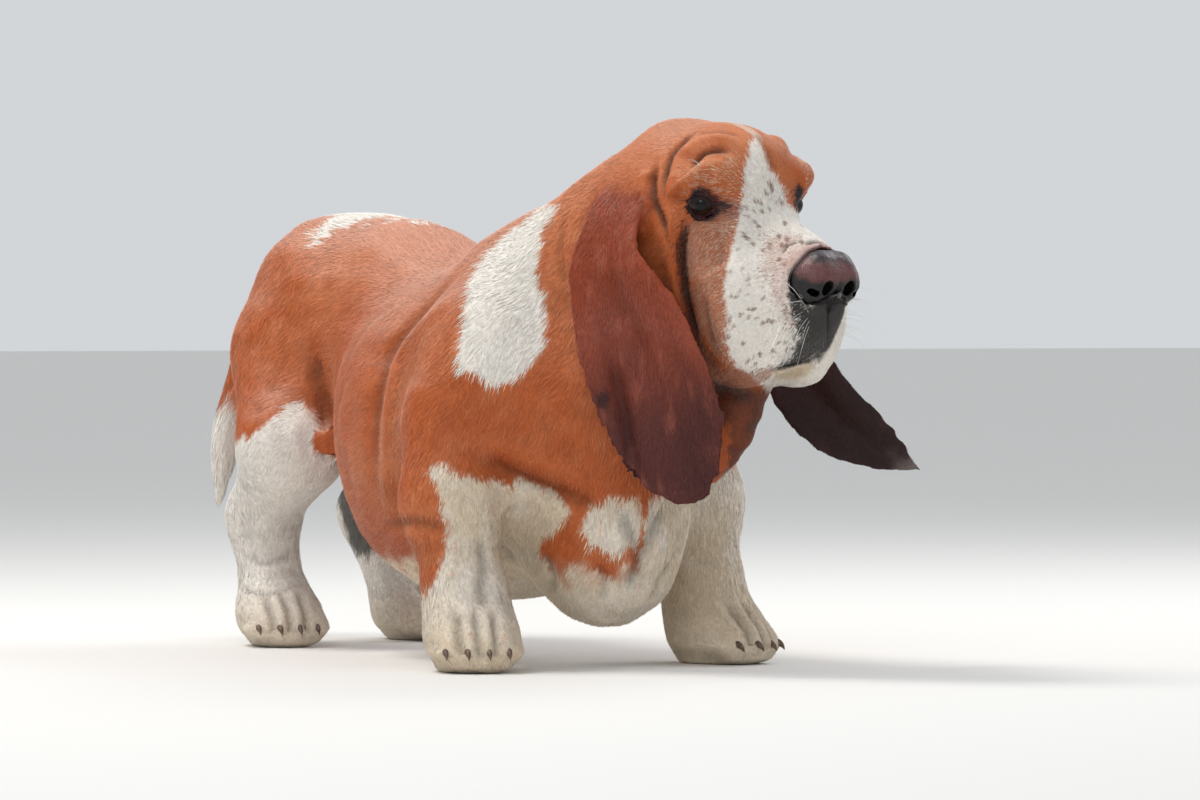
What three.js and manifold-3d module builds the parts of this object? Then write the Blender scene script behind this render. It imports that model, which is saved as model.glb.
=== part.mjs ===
// A standing basset hound in millimetres: nose towards +X, left side towards +Y, up is +Z.
// Every form of flesh is a named ball or limb. Forms melt together into one field, the field is
// turned into a closed surface, and thin cuts part that surface into the named pieces.
import * as THREE from 'three';
import Module from 'manifold-3d';
import { mergeVertices } from 'three/addons/utils/BufferGeometryUtils.js';
import { triTable } from 'three/addons/objects/MarchingCubes.js';

const wasm = await Module();
wasm.setup();

// Driving dimensions of the dog.
const rumpTop = 354;
const withersTop = 350;
const chestBottom = 45;
const ribHalfWidth = 120;
const foreX = 229;
const foreY = 109;
const leftForeX = 208;
const hindX = -196;
const hindY = 71;
const leftHindX = -240;
const skullHalfWidth = 60;
const eyeRadius = 13;
const eyeBack = -8;
const eyeSide = 41;
const lidThickness = 3;
const earThickness = 7;

// Head frame: the point between the eyes, turned to the dog's left and nosed down.
const headPlace = new THREE.Vector3(382, 51, 353.6);
const headTurn = THREE.MathUtils.degToRad(12);
const headDrop = THREE.MathUtils.degToRad(12);

// Sizes of the cutting and of the surface grid.
const gap = 0.35;
const weld = 0.02;
const bodyCell = 22;
const neckCell = 18;
const legCell = 15;
const headCell = 9.2;
const noseCell = 6;
const farAway = 2000;

const headMatrix = new THREE.Matrix4()
  .makeRotationFromEuler(new THREE.Euler(0, headDrop, headTurn, 'ZYX'))
  .setPosition(headPlace);
const headInverse = headMatrix.clone().invert();

// Field forms. Each is a function of a point that is negative inside the form.

function ball(centre, radii, turn = [0, 0, 0]) {
  const [rx, ry, rz] = radii;
  const unturn = new THREE.Matrix4()
    .makeRotationFromEuler(new THREE.Euler(...turn.map(THREE.MathUtils.degToRad)))
    .invert();
  const q = new THREE.Vector3();
  return (p) => {
    q.set(p.x - centre[0], p.y - centre[1], p.z - centre[2]).applyMatrix4(unturn);
    const near = Math.hypot(q.x / rx, q.y / ry, q.z / rz);
    const slope = Math.hypot(q.x / (rx * rx), q.y / (ry * ry), q.z / (rz * rz));
    return slope > 1e-9 ? (near * (near - 1)) / slope : -Math.min(rx, ry, rz);
  };
}

function limb(from, to, fromRadius, toRadius) {
  const start = new THREE.Vector3(...from);
  const along = new THREE.Vector3(...to).sub(start);
  const lengthSquared = along.lengthSq();
  const q = new THREE.Vector3();
  return (p) => {
    q.copy(p).sub(start);
    const t = THREE.MathUtils.clamp(q.dot(along) / lengthSquared, 0, 1);
    q.addScaledVector(along, -t);
    return q.length() - THREE.MathUtils.lerp(fromRadius, toRadius, t);
  };
}

// Joins forms with a soft hollow about as wide as softness where they meet.
function melt(softness, ...forms) {
  return (p) => forms.reduce((nearest, form) => {
    const next = form(p);
    const share = Math.max(softness - Math.abs(nearest - next), 0) / softness;
    return Math.min(nearest, next) - (share * share * softness) / 4;
  }, farAway);
}

// A groove, or with a negative depth a raised fold, that follows a curve over a form.
function fold(points, width, depth) {
  const curve = new THREE.CatmullRomCurve3(points.map((point) => new THREE.Vector3(...point)));
  const steps = curve.getPoints(10);
  const nearest = new THREE.Vector3();
  return (p) => {
    let distance = farAway;
    for (let i = 1; i < steps.length; i += 1) {
      new THREE.Line3(steps[i - 1], steps[i]).closestPointToPoint(p, true, nearest);
      distance = Math.min(distance, nearest.distanceTo(p));
    }
    return distance > width * 3 ? 0 : depth * Math.exp(-((distance / width) ** 2));
  };
}

const folded = (form, ...folds) => (p) => folds.reduce((value, groove) => value + groove(p), form(p));
const carved = (form, tool, softness) => (p) => -melt(softness, (q) => -form(q), tool)(p);
const grown = (form, by) => (p) => form(p) - by;

function inHead(form) {
  const q = new THREE.Vector3();
  return (p) => form(q.copy(p).applyMatrix4(headInverse));
}

// Surface of a field inside a box, by marching cubes: a point on each grid edge that the surface
// crosses, and the triangles that the table gives for the corners of each cell.
const cellCorners = [
  [0, 0, 0], [1, 0, 0], [1, 1, 0], [0, 1, 0],
  [0, 0, 1], [1, 0, 1], [1, 1, 1], [0, 1, 1],
];
const cellEdges = [
  [0, 1], [1, 2], [3, 2], [0, 3],
  [4, 5], [5, 6], [7, 6], [4, 7],
  [0, 4], [1, 5], [2, 6], [3, 7],
];
const tableRow = 16;

function surfaceOf(field, low, high, cell) {
  const count = low.map((from, axis) => Math.ceil((high[axis] - from) / cell) + 1);
  const index = (i, j, k) => (k * count[1] + j) * count[0] + i;
  const nodeAt = (i, j, k) => new THREE.Vector3(low[0] + i * cell, low[1] + j * cell, low[2] + k * cell);
  const values = new Float32Array(count[0] * count[1] * count[2]);
  const eachNode = (less, visit) => {
    for (let k = 0; k < count[2] - less; k += 1) {
      for (let j = 0; j < count[1] - less; j += 1) {
        for (let i = 0; i < count[0] - less; i += 1) visit(i, j, k);
      }
    }
  };
  eachNode(0, (i, j, k) => {
    const onRim = [i, j, k].some((n, axis) => n === 0 || n === count[axis] - 1);
    const value = field(nodeAt(i, j, k));
    values[index(i, j, k)] = onRim ? Math.max(value, cell / 2) : value;
  });

  const points = [];
  const triangles = [];
  const numberOf = new Map();
  const pointOn = (a, b) => {
    const [from, to] = [index(...a), index(...b)];
    const key = `${from},${to}`;
    if (!numberOf.has(key)) {
      numberOf.set(key, points.length / 3);
      const place = crossing(field, nodeAt(...a), nodeAt(...b), values[from], values[to]);
      points.push(...place.toArray());
    }
    return numberOf.get(key);
  };
  eachNode(1, (i, j, k) => {
    const corners = cellCorners.map(([di, dj, dk]) => [i + di, j + dj, k + dk]);
    const pattern = corners.reduce((bits, at, n) => bits + (values[index(...at)] < 0 ? 0 : 2 ** n), 0);
    for (let n = pattern * tableRow; triTable[n] >= 0; n += 3) {
      const ring = [0, 1, 2].map((m) => {
        const [a, b] = cellEdges[triTable[n + m]];
        return pointOn(corners[a], corners[b]);
      });
      triangles.push(...ring);
    }
  });
  return { points, triangles };
}

// Where the field is zero between two grid points, kept a little away from both.
function crossing(field, a, b, valueA, valueB) {
  let [low, high] = [0, 1];
  let t = valueA / (valueA - valueB);
  for (let round = 0; round < 4; round += 1) {
    const value = field(a.clone().lerp(b, t));
    if ((value < 0) === (valueA < 0)) low = t;
    else high = t;
    t = (low + high) / 2;
  }
  return a.clone().lerp(b, THREE.MathUtils.clamp(t, 0.08, 0.92));
}

// Solids and their joins and cuts.

function solidFromMesh(points, triangles) {
  const mesh = new wasm.Mesh({
    numProp: 3,
    vertProperties: new Float32Array(points),
    triVerts: new Uint32Array(triangles),
  });
  return new wasm.Manifold(mesh);
}

function solidFromGeometry(geometry) {
  const bare = geometry.clone();
  bare.deleteAttribute('normal');
  bare.deleteAttribute('uv');
  const merged = mergeVertices(bare, 1e-3);
  return solidFromMesh(merged.attributes.position.array, merged.index.array);
}

function solidOfField(field, low, high, cell) {
  const { points, triangles } = surfaceOf(field, low, high, cell);
  return solidFromMesh(points, triangles);
}

function block(low, high) {
  const size = low.map((from, axis) => high[axis] - from);
  const geometry = new THREE.BoxGeometry(...size);
  geometry.translate(...low.map((from, axis) => (from + high[axis]) / 2));
  return solidFromGeometry(geometry);
}

// The half of space on the far side of a plane, as a large block.
function beyond(point, direction, by = 0) {
  const normal = new THREE.Vector3(...direction).normalize();
  const geometry = new THREE.BoxGeometry(farAway, farAway, farAway);
  geometry.translate(0, 0, farAway / 2 + by);
  geometry.applyQuaternion(new THREE.Quaternion().setFromUnitVectors(new THREE.Vector3(0, 0, 1), normal));
  geometry.translate(...point);
  return solidFromGeometry(geometry);
}

function largest(solid) {
  const parts = solid.decompose();
  return parts.reduce((best, part) => (part.volume() > best.volume() ? part : best));
}

const onBothSides = (make) => [make(-1), make(1)];

// Forms of the trunk.
const trunk = melt(
  34,
  ball([75, 0, 188], [180, ribHalfWidth, 126]),
  ball([60, 0, chestBottom + 85], [150, 98, 85]),
  ball([-100, 0, 258], [140, 78, 90]),
  ball([-190, 0, rumpTop - 92], [92, 68, 90]),
  ...onBothSides((side) => ball([-184, side * 42, 236], [80, 50, 104])),
  ball([155, 0, withersTop - 56], [62, 46, 48]),
  ...onBothSides((side) => ball([185, side * 76, 200], [70, 50, 94], [0, 12, 0])),
  ball([235, 0, 200], [78, 80, 70]),
  ball([238, -8, 116], [72, 48, 82]),
  ball([232, 22, 112], [66, 46, 76]),
);

// Forms of the neck, with the loose skin of the throat.
const neck = melt(
  34,
  limb([150, 0, 252], [285, 36, 324], 86, 80),
  limb([215, 8, 200], [325, 42, 250], 84, 62),
);

// One foreleg. Side is -1 for the right leg and 1 for the left one.
function foreLeg(side, x = foreX) {
  return melt(
    22,
    limb([x - 40, side * 94, 190], [x - 24, side * 110, 125], 48, 38),
    limb([x - 24, side * 110, 125], [x - 4, side * foreY, 55], 37, 29),
    limb([x - 4, side * foreY, 55], [x + 4, side * foreY, 28], 30, 31),
    foot(x + 16, side * (foreY + 4), side * 18),
  );
}

// One hind leg, with the hock a little behind the foot.
function hindLeg(side, x = hindX, hockBack = 26) {
  return melt(
    22,
    limb([-186, side * 48, 235], [-136, side * 82, 168], 64, 42),
    limb([-138, side * 82, 166], [x - hockBack, side * (hindY - 2), 104], 42, 28),
    limb([x - hockBack, side * (hindY - 2), 104], [x, side * hindY, 34], 28, 28),
    foot(x + 16, side * (hindY + 3), side * 10),
  );
}

// A foot with four toes in a row across its front.
function foot(x, y, turnDegrees) {
  const turn = THREE.MathUtils.degToRad(turnDegrees);
  const place = (ahead, aside, height) => [
    x + ahead * Math.cos(turn) - aside * Math.sin(turn),
    y + ahead * Math.sin(turn) + aside * Math.cos(turn),
    height,
  ];
  const toes = [-24, -8, 8, 24].map((aside) => {
    const ahead = 36 - (aside * aside) / 60;
    return limb(place(ahead - 22, aside * 0.8, 26), place(ahead, aside, 15), 16, 14);
  });
  return melt(9, ball(place(0, 0, 22), [42, 32, 27], [0, 0, turnDegrees]), ...toes);
}

const rightFore = foreLeg(-1);
const leftFore = foreLeg(1, leftForeX);
const rightHind = hindLeg(-1);
const leftHind = hindLeg(1, leftHindX, 58);

const tailRoute = new THREE.CatmullRomCurve3([
  new THREE.Vector3(-258, 0, 312),
  new THREE.Vector3(-308, -10, 286),
  new THREE.Vector3(-336, -30, 222),
  new THREE.Vector3(-343, -46, 162),
  new THREE.Vector3(-338, -55, 110),
]);
const tailRadii = [30, 20, 16, 14, 5];
const tailPoints = tailRoute.getPoints(12);
const tail = melt(4, ...tailPoints.slice(1).map((point, i) => {
  const radiusAt = (n) => {
    const t = (n / 12) * (tailRadii.length - 1);
    const k = Math.min(Math.floor(t), tailRadii.length - 2);
    return THREE.MathUtils.lerp(tailRadii[k], tailRadii[k + 1], t - k);
  };
  return limb(tailPoints[i].toArray(), point.toArray(), radiusAt(i), radiusAt(i + 1));
}));

const legs = melt(6, rightFore, leftFore, rightHind, leftHind);
const body = melt(14, melt(30, trunk, neck), legs, tail);

// Forms of the head in the head frame: ahead is along the muzzle, then left, then up.
const skull = melt(
  22,
  ball([-48, 0, -6], [66, skullHalfWidth, 58]),
  ball([-92, 0, 26], [26, 20, 18]),
  ball([-14, 0, 14], [38, 48, 38]),
  ...onBothSides((side) => ball([-4, side * 37, 19], [22, 15, 12], [0, 0, side * 24])),
  ...onBothSides((side) => ball([-12, side * 34, -8], [22, 19, 24])),
  ...onBothSides((side) => ball([-36, side * 40, -46], [48, 25, 52])),
  limb([-80, 0, -20], [-115, 0, -55], 55, 62),
);
const muzzle = melt(
  18,
  limb([10, 0, -24], [83, 0, -42], 30, 26),
  ball([59, 0, -62], [47, 35, 44]),
  ...onBothSides((side) => ball([45, side * 27, -88], [45, 17, 46], [side * -6, 0, 0])),
  ...onBothSides((side) => ball([24, side * 40, -76], [34, 15, 52], [side * -4, 0, 0])),
);
const mouth = ball([40, 0, -130], [54, 19, 22]);
const headForm = folded(
  carved(melt(20, skull, muzzle), mouth, 6),
  ...onBothSides((side) => fold([[18, side * 30, 42], [2, side * 46, 40], [-18, side * 56, 24]], 7, 3)),
  ...onBothSides((side) => fold([[-2, side * 58, -6], [4, side * 60, -40], [14, side * 56, -84]], 7, 4)),
  ...onBothSides((side) => fold([[40, side * 40, -40], [30, side * 46, -80], [30, side * 46, -110]], 8, 2)),
);
const jawForm = melt(
  14,
  limb([-20, 0, -98], [38, 0, -107], 26, 17),
  limb([38, 0, -107], [78, 0, -101], 17, 10),
);
const noseForm = melt(
  8,
  ball([93, 0, -34], [18, 23, 18]),
  ...onBothSides((side) => ball([93, side * 15, -43], [17, 13, 15])),
  ball([91, 0, -56], [15, 8, 12]),
);
const head = inHead(headForm);
const jaw = inHead(jawForm);
const nose = inHead(noseForm);
const dogForm = melt(14, body, head);

// An ear: a cupped flap that hangs along a curve, with long ripples and a thin rounded edge.
function earFlap({ route, acrossAtRoot, acrossAtTip, halfWidth, cup, ripple, tip }) {
  const rows = 18;
  const columns = 9;
  const curve = new THREE.CatmullRomCurve3(route.map((point) => new THREE.Vector3(...point)));
  const widthAt = (v) => {
    const spread = THREE.MathUtils.lerp(halfWidth * 0.42, halfWidth, THREE.MathUtils.smoothstep(v, 0, 0.7));
    const toTip = Math.max(v - tip.from, 0) / (1 - tip.from);
    return spread * Math.max(1 - toTip ** tip.power, 0) ** tip.root;
  };
  const place = (v, u, side) => {
    const centre = curve.getPoint(v);
    const down = curve.getTangent(v);
    const across = new THREE.Vector3(...acrossAtRoot).lerp(new THREE.Vector3(...acrossAtTip), v);
    across.addScaledVector(down, -across.dot(down)).normalize();
    const outward = new THREE.Vector3().crossVectors(across, down);
    const ripples = ripple * Math.sin(v * Math.PI) * Math.cos(u * 5.5 + 0.6);
    const bow = (cup * (0.4 - u * u) + ripples) * (widthAt(v) / halfWidth);
    const thick = (earThickness / 2) * Math.sqrt(1 - 0.94 * u * u) * (1 + 1.2 * (1 - v) ** 3);
    return centre
      .addScaledVector(across, u * widthAt(v))
      .addScaledVector(outward, bow + side * thick * Math.sqrt(1 - 0.9 * v ** 8));
  };
  const points = [];
  const number = new Map();
  const corner = (row, column, side) => {
    const key = `${row},${column},${side}`;
    if (!number.has(key)) {
      number.set(key, points.length / 3);
      points.push(...place(Math.min(row / rows, 0.995), (column / columns) * 2 - 1, side).toArray());
    }
    return number.get(key);
  };
  const triangles = [];
  const quad = (a, b, c, d) => triangles.push(a, b, c, a, c, d);
  for (let row = 0; row < rows; row += 1) {
    for (let column = 0; column < columns; column += 1) {
      const around = [[row, column], [row + 1, column], [row + 1, column + 1], [row, column + 1]];
      const [a, b, c, d] = around.map(([r, n]) => corner(r, n, 1));
      const [e, f, g, h] = around.map(([r, n]) => corner(r, n, -1));
      triangles.push(a, b, c, a, c, d);
      triangles.push(e, g, f, e, h, g);
    }
    quad(corner(row, 0, 1), corner(row, 0, -1), corner(row + 1, 0, -1), corner(row + 1, 0, 1));
    quad(corner(row, columns, -1), corner(row, columns, 1), corner(row + 1, columns, 1), corner(row + 1, columns, -1));
  }
  for (let column = 0; column < columns; column += 1) {
    quad(corner(0, column, -1), corner(0, column, 1), corner(0, column + 1, 1), corner(0, column + 1, -1));
    quad(corner(rows, column, 1), corner(rows, column, -1), corner(rows, column + 1, -1), corner(rows, column + 1, 1));
  }
  const solid = solidFromMesh(points, triangles);
  if (solid.volume() > 0) return solid;
  return solidFromMesh(points, triangles.map((n, i) => triangles[i - (i % 3) + [0, 2, 1][i % 3]]));
}

const rightEar = earFlap({
  route: [
    [318, -6, 376], [330, -34, 345], [337, -47, 310], [350, -43, 278],
    [367, -34, 240], [380, -18, 190], [397, -3, 124],
  ],
  acrossAtRoot: [0.98, 0.1, -0.2],
  acrossAtTip: [0.72, 0.69, 0],
  halfWidth: 53,
  cup: 12,
  ripple: 4,
  tip: { from: 0.72, power: 2.6, root: 0.5 },
});
const leftEar = earFlap({
  route: [
    [300, 84, 370], [304, 106, 330], [306, 120, 278], [305, 137, 227],
    [312, 170, 187], [316, 204, 166], [320, 240, 147],
  ],
  acrossAtRoot: [0.98, 0.2, -0.1],
  acrossAtTip: [0.33, 0.5, 0.8],
  halfWidth: 38,
  cup: 12,
  ripple: 4,
  tip: { from: 0.5, power: 1.6, root: 0.8 },
});

// The surface of the whole dog, or of the dog grown by a gap, inside a box.
const flesh = (low, high, cell, by = 0) => solidOfField(grown(dogForm, by), low, high, cell);
const headBox = [[215, -90, 190], [540, 190, 450]];
const neckBox = [[150, -180, 60], [430, 190, 440]];
const noseBox = [[440, 20, 270], [530, 120, 350]];
const grownHead = flesh(...headBox, headCell, gap);
const grownNeck = flesh(...neckBox, neckCell, gap);

// Where the legs, feet, neck, head and tail are parted from the trunk.
const footTop = 44;
const legCuts = {
  fore_leg_right: [[154, -200, 0], [400, -60, 152]],
  fore_leg_left: [[134, 60, 0], [400, 200, 152]],
  hind_leg_right: [[-330, -200, 0], [-84, -36, 190]],
  hind_leg_left: [[-360, 36, 0], [-84, 200, 190]],
};
const grownBox = ([low, high]) => block(low.map((n) => n - gap), high.map((n) => n + gap));
const legBoxes = Object.values(legCuts).map(grownBox);
const withoutLegs = (solid) => legBoxes.reduce((rest, box) => rest.subtract(box), solid);

const fromHead = (place) => new THREE.Vector3(...place).applyMatrix4(headMatrix).toArray();
const fromHeadTurn = (way) => new THREE.Vector3(...way).transformDirection(headMatrix).toArray();
const footCut = [[0, 0, footTop], [0, 0, 1]];
const neckCut = [[205, 6, 290], [0.88, 0.1, 0.46]];
const headCut = [fromHead([-72, 0, -40]), fromHeadTurn([0.85, 0, 0.52])];
const tailCut = [[-286, 0, 290], [-1, 0, 0]];

// Keeps what lies ahead of a cut, or behind it, half a gap away.
const ahead = (solid, cut) => solid.intersect(beyond(...cut, gap / 2));
const behind = (solid, cut) => solid.subtract(beyond(...cut, -gap / 2));

const pieces = {};
const floor = beyond([0, 0, 0], [0, 0, -1]);
const trunkSolid = withoutLegs(flesh([-400, -200, -30], [420, 200, 440], bodyCell).subtract(floor));
pieces.torso = largest(behind(behind(trunkSolid, neckCut), tailCut));
pieces.tail = largest(withoutLegs(ahead(flesh([-400, -100, 60], [-240, 60, 360], 12), tailCut)));
pieces.neck = largest(withoutLegs(behind(ahead(flesh(...neckBox, neckCell), neckCut), headCut)));

for (const [name, [low, high]] of Object.entries(legCuts)) {
  const boxLow = low.map((n, axis) => (axis === 2 ? -30 : n - 20));
  const boxHigh = high.map((n) => n + 20);
  const whole = flesh(boxLow, boxHigh, legCell).intersect(block(low, high));
  pieces[name] = largest(ahead(whole, footCut));
  pieces[name.replace('leg', 'foot')] = largest(behind(whole, footCut));
}

// Eyes, with lids that stand over them and leave an almond opening.
function ellipsoid(radii, turn, place, around = 16) {
  const geometry = new THREE.SphereGeometry(1, around, around * 0.625);
  geometry.scale(...radii);
  geometry.applyMatrix4(new THREE.Matrix4().makeRotationFromEuler(new THREE.Euler(...turn)));
  geometry.translate(...place);
  return solidFromGeometry(geometry.applyMatrix4(headMatrix));
}

const eyeball = (side, radius) => ellipsoid([radius, radius, radius], [0, 0, 0], [eyeBack, side * eyeSide, -2]);
const lidOpening = (side) => ellipsoid(
  [14, 13, 8],
  [side * 0.3, 0, side * 0.7],
  [eyeBack + 9, side * (eyeSide + 8), -4],
);

let headLeft = ahead(flesh(...headBox, headCell), headCut);
const grownNose = solidOfField(grown(nose, gap), ...noseBox, noseCell);
let noseLeft = solidOfField(nose, ...noseBox, noseCell);
headLeft = headLeft.subtract(grownNose).subtract(noseLeft);
for (const side of [-1, 1]) {
  headLeft = headLeft.add(eyeball(side, eyeRadius + lidThickness)).subtract(lidOpening(side));
  headLeft = headLeft.subtract(eyeball(side, eyeRadius + gap));
  pieces[side < 0 ? 'eye_right' : 'eye_left'] = eyeball(side, eyeRadius);
}

// The nose, with a round nostril and a slit behind it on each side.
for (const side of [-1, 1]) {
  noseLeft = noseLeft.subtract(ellipsoid([13, 5.5, 6.5], [0, 0, 0], [109, side * 10.5, -43], 8));
  noseLeft = noseLeft.subtract(ellipsoid([5, 11, 2.6], [side * 0.3, 0, side * -0.9], [104, side * 20, -47], 8));
}
pieces.head = largest(headLeft);
pieces.nose = largest(noseLeft);

// What lies against the flesh is cut a gap clear of it, and of each facet that strays into the gap.
function clearOfFlesh(solid) {
  const tools = [grownHead, grownNeck, pieces.head, pieces.neck];
  return largest(tools.reduce((rest, tool) => rest.subtract(tool), solid));
}

pieces.lower_jaw = clearOfFlesh(solidOfField(jaw, ...headBox, headCell));
pieces.ear_right = clearOfFlesh(rightEar);
pieces.ear_left = clearOfFlesh(leftEar);

// Colours of the pieces.
const tan = 0xb8693a;
const white = 0xe6e0d6;
const colours = {
  ear: 0x5a2e28,
  eye: 0x24150f,
  nose: 0x3a2a30,
  foot: white,
  fore: white,
  hind: white,
  tail: white,
};

// A solid's surface, with points that the cuts left closer than the weld distance made one.
function geometryOf(solid) {
  const { vertProperties, triVerts } = solid.getMesh();
  const rough = new THREE.BufferGeometry();
  rough.setAttribute('position', new THREE.BufferAttribute(vertProperties, 3));
  rough.setIndex(new THREE.BufferAttribute(triVerts, 1));
  const welded = mergeVertices(rough, weld);
  const corners = welded.index.array;
  const kept = [];
  for (let i = 0; i < corners.length; i += 3) {
    const [a, b, c] = [corners[i], corners[i + 1], corners[i + 2]];
    if (a !== b && b !== c && c !== a) kept.push(a, b, c);
  }
  welded.setIndex(kept);
  return welded;
}

const dog = new THREE.Group();
for (const [name, solid] of Object.entries(pieces)) {
  const geometry = geometryOf(solid);
  const color = colours[name.split('_')[0]] ?? tan;
  const material = new THREE.MeshStandardMaterial({ color, roughness: 0.8, metalness: 0 });
  const mesh = new THREE.Mesh(geometry, material);
  mesh.name = name;
  dog.add(mesh);
}

// The origin is on the floor, in the middle of the dog's box.
const box = new THREE.Box3().setFromObject(dog);
const middle = box.getCenter(new THREE.Vector3());
dog.position.set(-middle.x, -middle.y, -box.min.z);

export default dog;
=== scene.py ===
import math

import bmesh
import bpy
import numpy as np
import openvdb
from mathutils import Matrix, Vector
from mathutils.bvhtree import BVHTree
from mathutils.kdtree import KDTree


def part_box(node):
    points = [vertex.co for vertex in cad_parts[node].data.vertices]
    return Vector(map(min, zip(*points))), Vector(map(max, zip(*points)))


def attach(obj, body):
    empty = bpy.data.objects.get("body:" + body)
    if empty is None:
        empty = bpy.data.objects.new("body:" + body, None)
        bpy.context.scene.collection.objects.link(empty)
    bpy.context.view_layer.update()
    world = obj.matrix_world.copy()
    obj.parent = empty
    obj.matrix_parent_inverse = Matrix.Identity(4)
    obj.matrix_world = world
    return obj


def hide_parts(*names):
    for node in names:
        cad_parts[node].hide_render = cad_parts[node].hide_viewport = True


# A standing basset hound, in metres: nose towards +X, its left side towards +Y.
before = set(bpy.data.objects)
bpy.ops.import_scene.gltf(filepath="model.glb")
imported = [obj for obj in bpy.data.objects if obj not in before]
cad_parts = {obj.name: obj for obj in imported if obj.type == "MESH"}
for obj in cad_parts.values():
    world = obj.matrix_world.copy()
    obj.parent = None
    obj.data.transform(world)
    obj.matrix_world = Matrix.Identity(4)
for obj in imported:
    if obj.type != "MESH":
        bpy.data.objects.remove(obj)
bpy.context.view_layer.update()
print("frame loaded:", len(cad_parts), "nodes")

mm = 0.001
camera = {"azimuth": 62.0, "distance": 5.3, "aside": 0.1116, "height": 0.27, "lens": 200.0, "sensor": 36.0}
photo = {"width": 1200, "middle": 600, "horizon": 314, "half": 400}
head = {"turn": 12.0, "drop": 12.0, "eyeMiddle": (-8.0, 0.0, -2.0), "place": (382.0, 51.0, 353.6)}
noise = np.random.default_rng(20)


def unit(v):
    v = np.asarray(v, float)
    return v / np.maximum(np.linalg.norm(v, axis=-1, keepdims=True), 1e-12)


def ease(low, high, x):
    t = np.clip((x - low) / (high - low), 0, 1)
    return t * t * (3 - 2 * t)


def mixed(a, b, share):
    return a + (b - a) * share


def boxMiddle(node):
    low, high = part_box(node)
    return np.array((low + high) / 2)


# Axes of the head, and the head frame's origin between the eyes.
turn, drop = math.radians(head["turn"]), math.radians(head["drop"])
headAxes = np.array([
    (math.cos(turn) * math.cos(drop), math.sin(turn) * math.cos(drop), -math.sin(drop)),
    (-math.sin(turn), math.cos(turn), 0.0),
    (math.cos(turn) * math.sin(drop), math.sin(turn) * math.sin(drop), math.cos(drop)),
])
eyeMiddle = (boxMiddle("eye_right") + boxMiddle("eye_left")) / 2
headPlace = eyeMiddle - np.array(head["eyeMiddle"]) * mm @ headAxes
dogPlace = headPlace - np.array(head["place"]) * mm  # where the dog's own zero stands in the frame


def fromHead(points):
    return headPlace + np.asarray(points, float) * mm @ headAxes


def inHead(points):
    return (points - headPlace) @ headAxes.T / mm


def fromDog(points):
    return dogPlace + np.asarray(points, float) * mm


def inDog(points):
    return (points - dogPlace) / mm


# The photo's view: a place on the photo, in its pixels, for any point of the dog.
azimuth = math.radians(camera["azimuth"])
viewRight = np.array((math.cos(azimuth), math.sin(azimuth), 0.0))
viewBack = np.array((math.sin(azimuth), -math.cos(azimuth), 0.0))
cameraPlace = dogPlace * (1, 1, 0) + viewRight * camera["aside"] + viewBack * camera["distance"]
cameraPlace[2] = camera["height"]
focal = camera["lens"] / camera["sensor"] * photo["width"]


def onPhoto(points):
    away = points - cameraPlace
    depth = -(away @ viewBack)
    return np.stack([
        photo["middle"] + focal * (away @ viewRight) / depth,
        photo["horizon"] - focal * away[:, 2] / depth,
    ], 1)


def rayThrough(pixel):
    x = (pixel[0] - photo["middle"]) / focal
    z = (photo["horizon"] - pixel[1]) / focal
    return unit(viewRight * x - viewBack + np.array((0, 0, z)))


def latticeNoise(points, size, seed=0):
    q = points / size
    cell = np.floor(q).astype(np.int64)
    f = q - cell
    f = f * f * (3 - 2 * f)
    total = np.zeros(len(points))
    for corner in np.ndindex(2, 2, 2):
        c = cell + np.array(corner)
        h = (c[:, 0] * 73856093) ^ (c[:, 1] * 19349663) ^ (c[:, 2] * 83492791) ^ (seed * 2654435761)
        h = (h ^ (h >> 13)) * 1274126177 & 0x7FFFFFFF
        value = (h ^ (h >> 16)) % 65536 / 32768.0 - 1
        weight = np.prod(np.where(np.array(corner) == 1, f, 1 - f), axis=1)
        total += value * weight
    return total


# Meshes as arrays.

def meshOf(name, points, faces):
    mesh = bpy.data.meshes.new(name)
    faces = np.asarray(faces, np.int32)
    mesh.vertices.add(len(points))
    mesh.vertices.foreach_set("co", np.asarray(points, np.float32).ravel())
    mesh.loops.add(faces.size)
    mesh.loops.foreach_set("vertex_index", faces.ravel())
    mesh.polygons.add(len(faces))
    mesh.polygons.foreach_set("loop_start", np.arange(0, faces.size, faces.shape[1], dtype=np.int32))
    smoothShaded(mesh)
    mesh.update(calc_edges=True)
    return mesh


def pieceOf(name, mesh, material, replaced=()):
    piece = bpy.data.objects.new(name, mesh)
    bpy.context.scene.collection.objects.link(piece)
    mesh.materials.append(material)
    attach(piece, "root")
    if replaced:
        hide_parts(*replaced)
    return piece


def pointsOf(mesh):
    co = np.empty(len(mesh.vertices) * 3, np.float32)
    mesh.vertices.foreach_get("co", co)
    return co.reshape(-1, 3).astype(float)


def normalsOf(mesh):
    n = np.empty(len(mesh.vertices) * 3, np.float32)
    mesh.vertex_normals.foreach_get("vector", n)
    return n.reshape(-1, 3).astype(float)


def trianglesOf(mesh):
    mesh.calc_loop_triangles()
    found = np.empty(len(mesh.loop_triangles) * 3, np.int32)
    mesh.loop_triangles.foreach_get("vertices", found)
    return found.reshape(-1, 3)


def movePoints(mesh, points):
    mesh.vertices.foreach_set("co", np.asarray(points, np.float32).ravel())
    mesh.update()


def smoothing(mesh):
    edges = np.empty(len(mesh.edges) * 2, np.int32)
    mesh.edges.foreach_get("vertices", edges)
    ends, starts = edges.reshape(-1, 2).T
    count = len(mesh.vertices)
    degree = np.maximum(np.bincount(ends, minlength=count) + np.bincount(starts, minlength=count), 1)

    def average(values):
        columns = values.reshape(count, -1).T
        total = [np.bincount(ends, c[starts], count) + np.bincount(starts, c[ends], count) for c in columns]
        return (np.stack(total, 1) / degree[:, None]).reshape(values.shape)

    return average


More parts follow.
